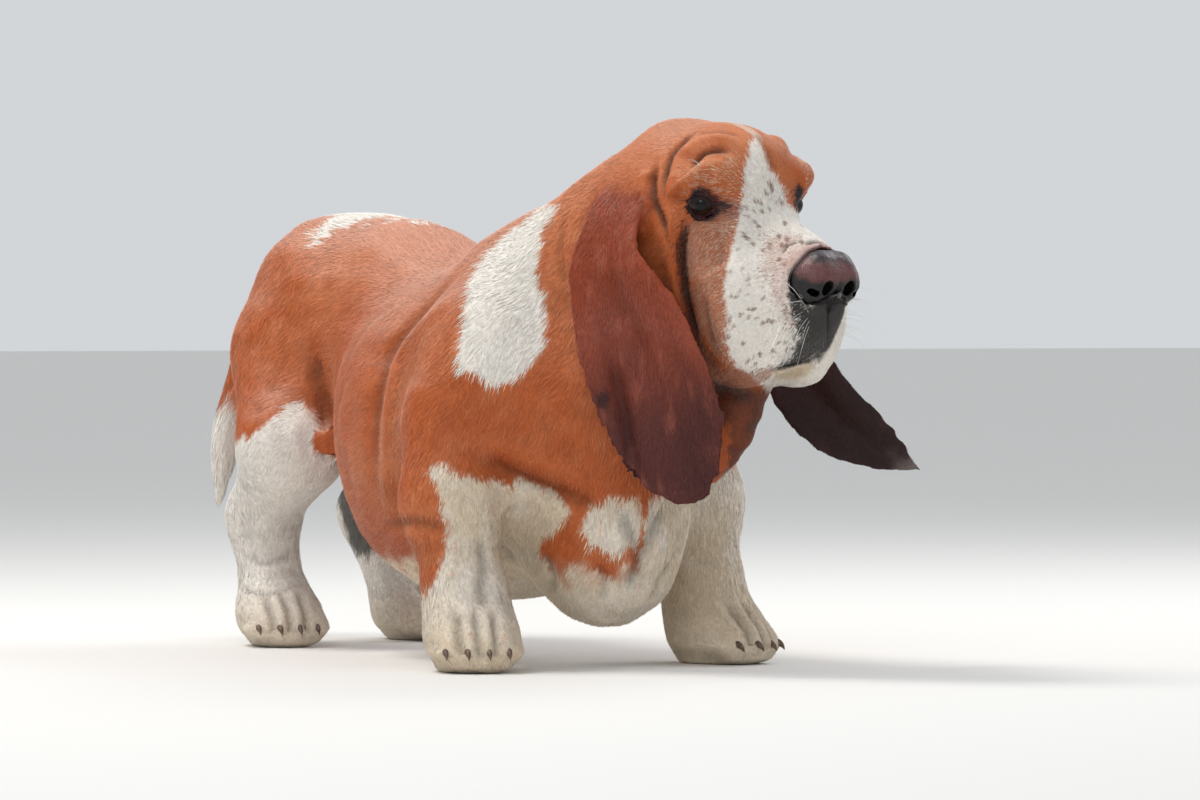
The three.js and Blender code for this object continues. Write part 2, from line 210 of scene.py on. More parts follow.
def blurred(values, average, rounds):
    for n in range(rounds):
        values = average(values)
    return values


def drawnIn(points, average, rounds, share):
    for n in range(rounds):
        points = points + share * (average(points) - points)
    return points


# Smooths without shrinking; rounds may differ from point to point.
def relaxed(points, average, rounds, push=0.55, pull=0.57):
    rounds = np.broadcast_to(np.asarray(rounds, float), len(points))
    for n in range(int(rounds.max())):
        move = (rounds > n)[:, None] * np.minimum(rounds - n, 1)[:, None]
        points = points + push * move * (average(points) - points)
        points = points - pull * move * (average(points) - points)
    return points


def smoothShaded(mesh):
    mesh.polygons.foreach_set("use_smooth", np.ones(len(mesh.polygons), bool))


def paintPoints(mesh, name, colour):
    colour = np.concatenate([colour, np.ones((len(colour), 1))], 1).astype(np.float32)
    mesh.attributes.new(name, "FLOAT_COLOR", "POINT").data.foreach_set("color", colour.ravel())


# Skin: the nodes of flesh in one closed surface, refined where the face needs it.
skin = {"voxel": 3.7, "seal": 0.6, "coatDepth": 1.6, "earDepth": 0.8, "lowest": 0.0004}
flesh = [n for n in sorted(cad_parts) if not n.startswith("eye") and n != "nose"]
groups = {
    "head": ["head", "lower_jaw"],
    "ear_right": ["ear_right"],
    "ear_left": ["ear_left"],
    "neck": ["neck"],
    "torso": ["torso"],
    "tail": ["tail"],
    "fore_right": ["fore_leg_right", "fore_foot_right"],
    "fore_left": ["fore_leg_left", "fore_foot_left"],
    "hind_right": ["hind_leg_right", "hind_foot_right"],
    "hind_left": ["hind_leg_left", "hind_foot_left"],
}
smoothRounds = {"torso": 46, "neck": 40, "tail": 16, "head": 10, "ear_right": 22, "ear_left": 22,
                "fore_right": 20, "fore_left": 20, "hind_right": 20, "hind_left": 20}


def joined(nodes):
    points, triangles, count = [], [], 0
    for name in nodes:
        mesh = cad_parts[name].data
        points.append(pointsOf(mesh))
        triangles.append(trianglesOf(mesh) + count)
        count += len(mesh.vertices)
    return np.concatenate(points), np.concatenate(triangles)


def balls(places):
    points, triangles, count = [], [], 0
    for x, y, z, radius in places:
        bm = bmesh.new()
        bmesh.ops.create_icosphere(bm, subdivisions=3, radius=radius * mm)
        points.append(np.array([v.co for v in bm.verts]) + fromDog((x, y, z)))
        triangles.append(np.array([[v.index for v in f.verts] for f in bm.faces]) + count)
        count += len(bm.verts)
        bm.free()
    return np.concatenate(points), np.concatenate(triangles)


def closedSurface(name, nodes, voxel, out, more=()):
    points, triangles = joined(nodes)
    if more:
        extraPoints, extraTriangles = balls(more)
        triangles = np.concatenate([triangles, extraTriangles + len(points)])
        points = np.concatenate([points, extraPoints])
    grid = openvdb.FloatGrid.createLevelSetFromPolygons(
        points.astype(np.float32), triangles=triangles.astype(np.uint32),
        transform=openvdb.createLinearTransform(voxelSize=voxel * mm), halfWidth=3)
    made, noTriangles, quads = grid.convertToPolygons(isovalue=out * mm, adaptivity=0)
    mesh = meshOf(name, made, quads[:, ::-1])
    bm = bmesh.new()
    bm.from_mesh(mesh)
    left, islands = set(bm.verts), []
    while left:
        edge = [left.pop()]
        island = list(edge)
        while edge:
            near = {e.other_vert(v) for v in edge for e in v.link_edges} & left
            left -= near
            island += near
            edge = list(near)
        islands.append(island)
    largest = max(islands, key=len)
    strays = [v for island in islands if island is not largest for v in island]
    bmesh.ops.delete(bm, geom=strays, context="VERTS")
    if bm.calc_volume(signed=True) < 0:
        bmesh.ops.reverse_faces(bm, faces=bm.faces)
    bm.to_mesh(mesh)
    bm.free()
    return mesh


def shares(points):
    known, owner = [], []
    for n, nodes in enumerate(groups.values()):
        known.append(joined(nodes)[0])
        owner += [n] * len(known[-1])
    tree = KDTree(len(owner))
    for i, co in enumerate(np.concatenate(known)):
        tree.insert(co, i)
    tree.balance()
    nearest = np.array([owner[tree.find(p)[1]] for p in points])
    return np.eye(len(groups))[nearest]


def refine(mesh, inside):
    bm = bmesh.new()
    bm.from_mesh(mesh)
    bm.verts.ensure_lookup_table()
    edges = [e for e in bm.edges if inside[e.verts[0].index] and inside[e.verts[1].index]]
    bmesh.ops.subdivide_edges(bm, edges=edges, cuts=1, use_grid_fill=True)
    bm.to_mesh(mesh)
    bm.free()


# The dewlap, as balls from under the chin down to the chest.
dewlap = [(385, 54, 238, 19), (377, 50, 218, 21), (369, 46, 200, 22), (360, 44, 184, 22), (348, 41, 170, 21),
          (334, 38, 158, 19)]
skinMesh = closedSurface("skin", flesh, skin["voxel"], skin["seal"], dewlap)
average = smoothing(skinMesh)
share = blurred(shares(pointsOf(skinMesh)), average, 8)
points = relaxed(pointsOf(skinMesh), average, share @ np.array([smoothRounds[g] for g in groups]))
movePoints(skinMesh, points)
# Only the rims of the ears are drawn in further.
bluntness = np.linalg.norm(blurred(normalsOf(skinMesh), average, 3), axis=1)
thin = (ease(0.93, 0.7, bluntness) * (share[:, 1] + share[:, 2]))[:, None]
points = drawnIn(points, average, 10, 0.5 * thin)
movePoints(skinMesh, points)
print("skin surface:", len(points), "points")

eyes = {"right": boxMiddle("eye_right"), "left": boxMiddle("eye_left")}


def nearEyes(points, reach):
    return np.minimum(*(np.linalg.norm(points - c, axis=1) for c in eyes.values())) < reach * mm


# Finer where the face needs it: places in the head's own mm.
finer = {"backOfHead": -70, "eyes": 40, "lids": 22, "lips": ((66, 999), (-44, 44), (-125, -60))}


def inLips(points):
    low, high = np.array(finer["lips"]).T
    return np.all((inHead(points) > low) & (inHead(points) < high), axis=1)


refine(skinMesh, (share[:, 0] > 0.5) & (inHead(points)[:, 0] > finer["backOfHead"]))
points = pointsOf(skinMesh)
refine(skinMesh, nearEyes(points, finer["eyes"]) | inLips(points))
refine(skinMesh, nearEyes(pointsOf(skinMesh), finer["lids"]))
average = smoothing(skinMesh)
share = blurred(shares(pointsOf(skinMesh)), average, 10)
part = {name: share[:, n] for n, name in enumerate(groups)}
part["ear"] = part["ear_right"] + part["ear_left"]
points = relaxed(pointsOf(skinMesh), average, 4, 0.5, 0.52)
movePoints(skinMesh, points)
print("skin refined:", len(points), "points")

# Coat depth: the skin lies under the hair.
sink = skin["seal"] + mixed(skin["coatDepth"], skin["earDepth"], np.clip(part["ear"], 0, 1))
sink = sink * ease(0.0, 0.012, points[:, 2] + 0.004)
points = points - normalsOf(skinMesh) * (sink * mm)[:, None]
movePoints(skinMesh, points)


def skinTree():
    return BVHTree.FromPolygons(pointsOf(skinMesh).tolist(), trianglesOf(skinMesh).tolist())


def smoothLine(points, count=24):
    points = np.asarray(points, float)
    ends = np.concatenate([[2 * points[0] - points[1]], points, [2 * points[-1] - points[-2]]])
    made = []
    for n in range(len(points) - 1):
        a, b, c, d = ends[n:n + 4]
        for t in np.linspace(0, 1, max(2, count // (len(points) - 1)), endpoint=n == len(points) - 2):
            made.append(0.5 * (2 * b + (c - a) * t + (2 * a - 5 * b + 4 * c - d) * t * t
                               + (3 * b - a - 3 * c + d) * t ** 3))
    return np.array(made)


def toSkin(tree, pixels):
    found = []
    for pixel in smoothLine(pixels):
        hit = tree.ray_cast(Vector(cameraPlace), Vector(rayThrough(pixel)))[0]
        if hit is not None:
            found.append(hit)
    return np.array(found)


def mirroredHead(line):
    return fromHead(inHead(line) * (1, -1, 1))


def mirroredDog(line):
    return fromDog(inDog(line) * (1, -1, 1))


def alongLine(points, line):
    best = np.full(len(points), 1e9)
    place = np.zeros(len(points))
    low, high = line.min(0) - 0.04, line.max(0) + 0.04
    near = np.flatnonzero(np.all((points > low) & (points < high), axis=1))
    p = points[near]
    distance = np.full(len(p), 1e9)
    at = np.zeros(len(p))
    for n in range(len(line) - 1):
        a, d = line[n], line[n + 1] - line[n]
        t = np.clip((p - a) @ d / max(d @ d, 1e-12), 0, 1)
        away = np.linalg.norm(p - a - t[:, None] * d, axis=1)
        closer = away < distance
        distance = np.where(closer, away, distance)
        at = np.where(closer, (n + t) / (len(line) - 1), at)
    best[near] = distance / mm
    place[near] = at
    return best, place


# Folds of the face and body: lines on the photo, with the depth and half width in mm.
# A crease is cut in, a roll stands out beside it.
faceFolds = {  # mirrored for the far side
    "brow crease": [[(691, 170), (697, 160), (706, 152), (720, 150), (735, 153)], -3.8, 3.0],
    "brow roll": [[(684, 160), (692, 148), (706, 141), (722, 140), (738, 145)], 3.6, 5.5],
    "brow lid roll": [[(690, 186), (697, 174), (710, 165), (728, 166)], 2.6, 5.5],
    "second crease": [[(697, 130), (684, 141), (672, 154), (666, 172), (662, 200)], -3.8, 3.2],
    "second roll": [[(678, 170), (672, 188), (674, 206)], 2.8, 5.5],
    "third crease": [[(657, 162), (653, 182), (655, 202), (663, 222), (672, 244)], -3.8, 3.6],
    "third roll": [[(646, 168), (643, 190), (648, 215)], 2.4, 6.0],
    "crown wrinkle": [[(700, 133), (722, 132), (742, 137)], -1.6, 3.2],
    "cheek crease": [[(685, 220), (683, 240), (682, 262), (686, 296), (695, 332), (700, 344)], -4.8, 3.6],
    "cheek roll": [[(672, 216), (671, 240), (673, 266), (679, 296), (688, 324)], 3.8, 6.0],
    "cheek fold": [[(704, 292), (707, 316), (711, 336), (718, 352)], -1.8, 3.4],
    "cheek fold roll": [[(714, 292), (718, 318), (724, 340)], 1.6, 5.0],
    "flew edge": [[(704, 352), (714, 376), (734, 384), (756, 379), (778, 372)], 2.2, 4.6],
    "lid bag": [[(688, 227), (700, 232), (716, 229), (728, 218)], -1.4, 2.8],
    "outer lid": [[(688, 180), (682, 192), (681, 206), (685, 222)], 3.4, 5.0],
}
frontFolds = {  # on the near side alone
    "mouth line": [[(770, 371), (782, 368), (800, 364), (816, 359), (828, 352)], -4.2, 2.0],
    "lower lip": [[(778, 376), (795, 376), (812, 369)], 1.4, 3.0],
    "nose wrinkle one": [[(781, 254), (788, 245), (800, 241)], -2.8, 1.6],
    "nose wrinkle two": [[(803, 244), (816, 241), (830, 246)], -2.8, 1.6],
    "nose wrinkle three": [[(790, 236), (806, 234), (822, 238)], -0.8, 1.5],
    "lip furrow": [[(829, 304), (829, 322), (828, 344)], -2.0, 1.8],
}
middleFolds = {  # in the head's own mm
    "forehead furrow": [[(-6, 0, 54), (10, 0, 40), (24, 0, 24)], -1.6, 4.0],
}
for side, height, width in ((-1, 4.5, 7.0), (1, 8.5, 8.0)):
    orbit = np.array([(-10, 57, 20), (-7, 61, 6), (-5, 62, -8), (-2, 60, -22), (4, 57, -36)]) * (1, side, 1)
    middleFolds["outer orbit", side] = [orbit, height, width]
bodyFolds = {
    "shoulder ridge": [[(472, 278), (440, 312), (405, 352), (392, 400), (389, 450), (391, 500), (400, 552)],
                       5.0, 11.0],
    "shoulder crease": [[(458, 276), (424, 310), (391, 350), (378, 400), (375, 450), (378, 500)], -3.5, 9.0],
    "flank crease": [[(318, 352), (316, 372), (320, 392), (326, 412), (332, 440)], -7.0, 7.0],
    "neck crease": [[(478, 455), (505, 470), (540, 486), (578, 498), (600, 506)], -4.5, 7.0],
    "neck roll": [[(484, 438), (515, 452), (550, 466), (584, 478)], 3.5, 10.0],
    "elbow crease": [[(384, 528), (400, 523), (425, 522), (450, 528)], -3.0, 5.0],
    "chest dimple": [[(500, 546), (508, 556), (512, 568)], -5.0, 6.0],
    "chest fold one": [[(478, 530), (484, 560), (482, 590), (488, 612)], -4.0, 6.0],
    "chest fold two": [[(545, 556), (552, 580), (548, 604)], -3.5, 5.0],
    "keel crease": [[(668, 500), (655, 530), (642, 565), (626, 596)], -5.0, 6.0],
    "keel fold": [[(598, 560), (604, 582), (600, 604)], -2.5, 5.0],
    "hock fold one": [[(244, 556), (262, 562), (282, 558), (296, 550)], -1.8, 4.0],
    "hock fold two": [[(236, 586), (256, 592), (280, 590), (298, 584)], -1.8, 4.0],
    "loin fold": [[(398, 300), (372, 322), (352, 352), (344, 384)], -1.6, 9.0],
    "nape fold": [[(566, 214), (560, 250), (566, 290)], -1.8, 6.0],
    "throat fold": [[(742, 400), (738, 430), (728, 462)], -3.0, 6.0],
}
earFolds = {
    "ear groove": [[(610, 350), (617, 383), (625, 420), (631, 452), (637, 486)], -6.5, 6.0],
    "ear lobe": [[(640, 370), (648, 410), (656, 445), (664, 484)], 5.0, 14.0],
    "ear rear roll": [[(596, 300), (596, 350), (603, 400), (612, 440)], 3.0, 9.0],
    "ear upper fold": [[(606, 262), (616, 296), (632, 330), (654, 362)], -2.0, 9.0],
    "ear front fold": [[(664, 330), (684, 372), (700, 412), (708, 450)], -2.4, 8.0],
    "ear front roll": [[(640, 262), (658, 292), (680, 330), (708, 380)], 2.0, 6.0],
}

# Feet: how many degrees each turns outwards, and the grooves between its toes.
feet = {"fore_foot_right": -18, "fore_foot_left": 18, "hind_foot_right": -10, "hind_foot_left": 10}
toeGrooves = {"aside": (-16, 0, 16), "route": [(56, 4), (50, 20), (34, 38), (14, 50)],
              "depth": -5.0, "width": 3.6}


def footAxes(degrees):
    angle = math.radians(degrees)
    return np.array((math.cos(angle), math.sin(angle), 0)), np.array((-math.sin(angle), math.cos(angle), 0))


legShare = part["fore_right"] + part["fore_left"] + part["hind_right"] + part["hind_left"]
tree = skinTree()
normals = normalsOf(skinMesh)
shift = np.zeros(len(points))
# The crease depth below darkens the colour there: painted shade in creases.
hollow = np.zeros(len(points))  # how deep in a crease a point lies, for its colour


def sculpt(line, height, width, mask):
    away, place = alongLine(points, line)
    taper = ease(0, 0.22, place) * ease(0, 0.22, 1 - place) * 0.85 + 0.15 * (away < 1e8)
    bump = np.exp(-(away / width) ** 2) * taper * mask
    if height < 0:
        np.maximum(hollow, bump * min(1, -height / 3.5), out=hollow)
    return height * bump


face = np.clip(part["head"] * 1.6, 0, 1)
for pixels, height, width in faceFolds.values():
    line = toSkin(tree, pixels)
    shift += sculpt(line, height, width, face) + sculpt(mirroredHead(line), height * 0.7, width * 1.1, face)
for pixels, height, width in frontFolds.values():
    shift += sculpt(toSkin(tree, pixels), height, width, face)
for line, height, width in middleFolds.values():
    line = np.array([tree.find_nearest(Vector(p))[0] for p in fromHead(smoothLine(line))])
    shift += sculpt(line, height, width, face)
trunkShare = 1 - np.clip((part["head"] + part["ear"]) * 1.5, 0, 1)
for pixels, height, width in bodyFolds.values():
    line = toSkin(tree, pixels)
    for side in (line, mirroredDog(line)):
        shift += sculpt(side, height, width, trunkShare)
facing = np.sign(normals @ viewBack + 0.15)  # an ear's far face moves the same way as its near one
for pixels, height, width in earFolds.values():
    line = toSkin(tree, pixels)
    shift += sculpt(line, height, width, np.clip(part["ear_right"] * 1.5, 0, 1)) * facing
for foot, degrees in feet.items():
    low, high = (np.array(c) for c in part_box(foot))
    ahead, across = footAxes(degrees)
    for aside in toeGrooves["aside"]:
        route = [(low + high) / 2 * (1, 1, 0) + ahead * a * mm + across * aside * mm + (0, 0, z * mm)
                 for a, z in toeGrooves["route"]]
        route = np.array([tree.find_nearest(Vector(p))[0] for p in smoothLine(route)])
        shift += sculpt(route, toeGrooves["depth"], toeGrooves["width"], np.clip(legShare * 2, 0, 1))
# Loose skin, slightly uneven
loose = latticeNoise(points, 0.045, 3) * 1.1 + latticeNoise(points, 0.018, 5) * 0.35
shift += loose * np.clip(part["torso"] + part["neck"] + part["hind_right"] + part["hind_left"], 0, 1)
points = points + normals * (shift * mm)[:, None]
points[:, 2] = np.maximum(points[:, 2], skin["lowest"])
movePoints(skinMesh, points)
print("folds sculpted")

# Lids: skin pressed on to each eyeball round an almond opening that droops below.
lids = {"ball": 13.0, "thickness": 1.7, "halfWidth": 14.5, "upper": 7.6, "lower": 11.6, "reach": 13.0,
        "gaze": (0.72, 0.70, -0.06)}


def eyeAxes(side):
    b = -1 if side == "right" else 1
    gaze = unit(np.array([lids["gaze"][0], lids["gaze"][1] * b, lids["gaze"][2]]) @ headAxes)
    up = unit(headAxes[2] - gaze * (headAxes[2] @ gaze))
    nose = unit(np.cross(up, gaze)) * b
    return gaze, nose * (1 if np.dot(np.cross(up, gaze) * b, headAxes[0]) > 0 else -1), up


def opening(u, v):
    s = np.clip(np.abs(u) / lids["halfWidth"], 0, 1)
    top = lids["upper"] * (1 - s ** 2.0)
    low = lids["lower"] * (1 - s ** 1.5) + 0.12 * u * (np.abs(u) < lids["halfWidth"])
    return np.where(v > 0, v - top, -v - low) + np.maximum(np.abs(u) - lids["halfWidth"], 0)


# The cheek under an eye is kept behind this shelf, so that it doesn't stand before the ball.
shelf = {"start": 8.0, "slope": 0.32, "wide": 17.0, "push": 0.85}
rim = np.full(len(points), 99.0)
for side, centre in eyes.items():
    gaze, nose, up = eyeAxes(side)
    q = (points - centre) / mm
    b = q @ up
    cap = shelf["start"] + shelf["slope"] * np.maximum(-b - 8, 0) + 0.12 * np.maximum(np.abs(q @ nose) - 8, 0)
    within = ease(32, shelf["wide"], np.abs(q @ nose)) * ease(0, -9, b) * ease(-58, -34, b) * (q @ gaze > 0)
    over = np.maximum(q @ gaze - cap, 0) * within * (np.linalg.norm(q, axis=1) < 60)
    points = points - gaze * (over * shelf["push"] * mm)[:, None]
    q = (points - centre) / mm
    r = np.linalg.norm(q, axis=1)
    direction = q / np.maximum(r, 1e-6)[:, None]
    ahead = direction @ gaze
    u = lids["ball"] * np.arctan2(direction @ nose, np.maximum(ahead, 0.05))
    v = lids["ball"] * np.arctan2(direction @ up, np.maximum(ahead, 0.05))
    gapTo = opening(u, v)
    near = (r < 34) & (ahead > 0.15)
    onBall = lids["ball"] + lids["thickness"]
    lidded = mixed(onBall, np.maximum(r, onBall), ease(2.0, lids["reach"], gapTo))
    inside = lids["ball"] - 2.2
    target = mixed(inside, lidded, ease(-0.7, 0.6, gapTo))
    bag = 1.5 * np.exp(-((v + lids["lower"] + 5) / 3.5) ** 2 - (u / 12) ** 2)
    brow = 1.6 * np.exp(-((v - lids["upper"] - 5) / 3.0) ** 2 - (u / 14) ** 2)
    target = target + (bag + brow) * (gapTo > 0.6)
    drawn = mixed(r, target, ease(34, 26, r) * ease(0.15, 0.35, ahead))
    points = np.where(near[:, None], centre + direction * (drawn * mm)[:, None], points)
    rim = np.where(near & (r < 23), np.minimum(rim, gapTo), rim)
movePoints(skinMesh, points)
average = smoothing(skinMesh)
points = drawnIn(points, average, 2, ((rim > 0.5) & (rim < 20))[:, None] * 0.5)
movePoints(skinMesh, points)

# Round the nose the skin closes on the leather.
closing = {"reach": 0.009, "from": 7.0, "to": 0.5, "under": 0.0008, "share": 0.6}
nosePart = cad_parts["nose"].data
noseTree = BVHTree.FromPolygons(pointsOf(nosePart).tolist(), trianglesOf(nosePart).tolist())
noseLow, noseHigh = (np.array(c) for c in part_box("nose"))
toNose = np.full(len(points), 99.0)
normals = normalsOf(skinMesh)
around = (points > noseLow - closing["reach"]) & (points < noseHigh + closing["reach"])
for i in np.flatnonzero(np.all(around, axis=1)):
    spot, outward, index, away = noseTree.find_nearest(Vector(points[i]))
    toNose[i] = away / mm
    pull = ease(closing["from"], closing["to"], toNose[i]) * (normals[i] @ np.array(outward) > -0.2)
    onLeather = np.array(spot) - np.array(outward) * closing["under"]
    points[i] = mixed(points[i], onLeather, closing["share"] * pull)
movePoints(skinMesh, points)
normals = normalsOf(skinMesh)
print("lids made")


# Markings: outlines on the photo, read on the near side and mirrored for the far one.
palette = {
    "tan": (186, 92, 42), "paleTan": (214, 136, 92), "pinkTan": (212, 150, 124), "deepTan": (150, 62, 24),
    "earTop": (150, 62, 30), "earMid": (148, 70, 50), "earLow": (92, 46, 42), "earLight": (176, 98, 76),
    "earInner": (42, 28, 30), "earGrey": (150, 138, 132), "roan": (168, 118, 96),
    "white": (240, 232, 222), "cream": (222, 204, 178), "grey": (150, 146, 144), "black": (26, 20, 22),
    "freckle": (118, 84, 66), "rim": (34, 20, 26), "haw": (92, 36, 42), "pink": (196, 132, 116),
    "noseTop": (92, 58, 60), "lip": (20, 15, 18),
}


def linear(rgb):
    c = np.array(rgb, float) / 255
    return np.where(c <= 0.04045, c / 12.92, ((c + 0.055) / 1.055) ** 2.4)


tint = {name: linear(rgb) for name, rgb in palette.items()}
outlines = {
    "blaze": [(757, 138), (751, 150), (746, 170), (743, 200), (739, 225), (734, 238), (729, 262), (725, 290),
              (726, 320), (728, 345), (736, 366), (752, 378), (800, 420), (900, 420), (900, 216), (812, 220),
              (798, 212), (788, 203), (779, 188), (770, 170), (764, 154)],
    "nearEye": [(686, 202), (691, 191), (701, 187), (711, 190), (719, 198), (731, 206), (722, 213), (713, 219),
                (702, 221), (692, 217)],
    "throat": [(700, 366), (735, 384), (775, 378), (800, 366), (800, 420), (775, 420), (766, 442), (754, 466),
               (742, 492), (728, 480), (730, 430), (700, 400)],
    "darkLeg": [(336, 482), (352, 480), (374, 518), (376, 546), (366, 556), (350, 548), (342, 520)],
    "farEye": [(797, 184), (806, 190), (811, 204), (809, 217), (800, 216), (792, 205), (792, 192)],
    "roan": [(690, 214), (716, 206), (742, 204), (738, 232), (729, 262), (725, 290), (727, 345), (738, 368),
             (714, 354), (702, 334), (692, 296), (688, 250)],
    "browRoan": [(688, 196), (693, 178), (704, 167), (722, 160), (740, 160), (742, 200), (724, 196), (708, 184)],
    "muzzleRoan": [(768, 236), (800, 238), (796, 258), (786, 290), (794, 326), (774, 306), (764, 270)],
    "fringe": [(698, 336), (710, 352), (722, 366), (745, 371), (770, 366), (780, 372), (760, 384), (735, 396),
               (708, 386), (698, 360)],
    "lipDark": [(789, 292), (800, 303), (826, 306), (842, 298), (846, 318), (843, 340), (838, 354), (822, 360),
                (800, 366), (784, 370), (776, 366), (790, 354), (800, 338), (798, 320), (790, 306)],
    "lowerLip": [(772, 372), (790, 369), (812, 362), (818, 366), (814, 376), (795, 384), (776, 382)],
    "cheekShade": [(686, 218), (684, 222), (690, 226), (689, 250), (690, 290), (700, 335), (706, 350),
                   (698, 350), (684, 310), (676, 262), (676, 236)],
    "innerCorner": [(714, 198), (728, 199), (744, 207), (738, 215), (722, 216), (712, 214)],
    "neck": [(470, 280), (486, 254), (515, 228), (552, 200), (560, 206), (546, 228), (541, 258), (545, 300),
             (548, 342), (536, 360), (514, 380), (494, 384), (477, 374), (460, 370), (462, 335), (468, 300)],
    "croup": [(308, 250), (314, 236), (330, 220), (350, 205), (440, 205), (470, 222), (490, 248), (480, 246),
              (455, 232), (430, 224), (396, 219), (362, 221), (338, 230), (322, 244)],
    "hind": [(215, 446), (238, 438), (265, 429), (282, 410), (300, 401), (310, 412), (322, 430), (334, 447),
             (360, 480), (360, 700), (200, 700)],
    "chest": [(432, 470), (446, 463), (462, 476), (485, 480), (520, 480), (548, 486), (566, 500), (568, 520),
              (548, 532), (540, 545), (552, 566), (572, 600), (570, 650), (480, 650), (476, 600), (462, 560),
              (446, 520)],
    "keel": [(592, 500), (640, 496), (646, 520), (634, 548), (612, 552), (590, 545), (584, 524)],
    "keelBand": [(648, 500), (700, 480), (700, 620), (560, 660), (560, 612), (600, 608), (628, 598), (640, 560)],
    "foreRight": [(398, 586), (420, 592), (436, 580), (448, 548), (446, 520), (470, 520), (520, 560), (560, 640),
                  (560, 700), (380, 700)],
}
# How far, in mm, an edge wanders, and how far single tufts of one colour stand in the other.
ragged = {"roan": 4.0, "browRoan": 4.0, "muzzleRoan": 4.0, "fringe": 2.5, "lipDark": 5.0, "lowerLip": 1.2,
          "innerCorner": 2.5, "farEye": 1.0, "nearEye": 2.2, "throat": 3.0, "darkLeg": 1.5, "cheekShade": 3.0,
          "blaze": 2.0, "neck": 2.2, "croup": 4.5, "hind": 4.0, "chest": 3.5, "keel": 3.0, "keelBand": 3.0,
          "foreRight": 4.0}
softness = {"blaze": 2.5, "roan": 6.0, "browRoan": 5.0, "muzzleRoan": 7.0, "fringe": 4.0, "lipDark": 8.0,
            "lowerLip": 1.0, "innerCorner": 5.0, "cheekShade": 7.0}
plainSoftness = 2.0
pixelSize = 0.79  # mm on the dog for one pixel of the photo


def insideOutline(pixels, outline):
    corner = np.array(outline, float)
    after = np.roll(corner, -1, 0)
    best = np.full(len(pixels), 1e9)
    inside = np.zeros(len(pixels), bool)
    for a, b in zip(corner, after):
        d = b - a
        t = np.clip((pixels - a) @ d / (d @ d), 0, 1)
        best = np.minimum(best, np.linalg.norm(pixels - a - t[:, None] * d, axis=1))
        crosses = (a[1] > pixels[:, 1]) != (b[1] > pixels[:, 1])
        x = a[0] + (pixels[:, 1] - a[1]) * d[0] / (d[1] if abs(d[1]) > 1e-9 else 1e-9)
        inside ^= crosses & (pixels[:, 0] < x)
    return np.where(inside, best, -best) * pixelSize


# Freckles: where on the photo they may stand, across and down, with their size and number.
freckleFields = {
    "bridge": [((746, 812), (186, 246), (1.2, 2.6)), 34],
    "lip": [((728, 790), (246, 366), (0.9, 2.1)), 46],
}
spotNoise = np.random.default_rng(7)
freckleSpots = [[spotNoise.uniform(*span) for span in spans]
                for spans, count in freckleFields.values() for n in range(count)]


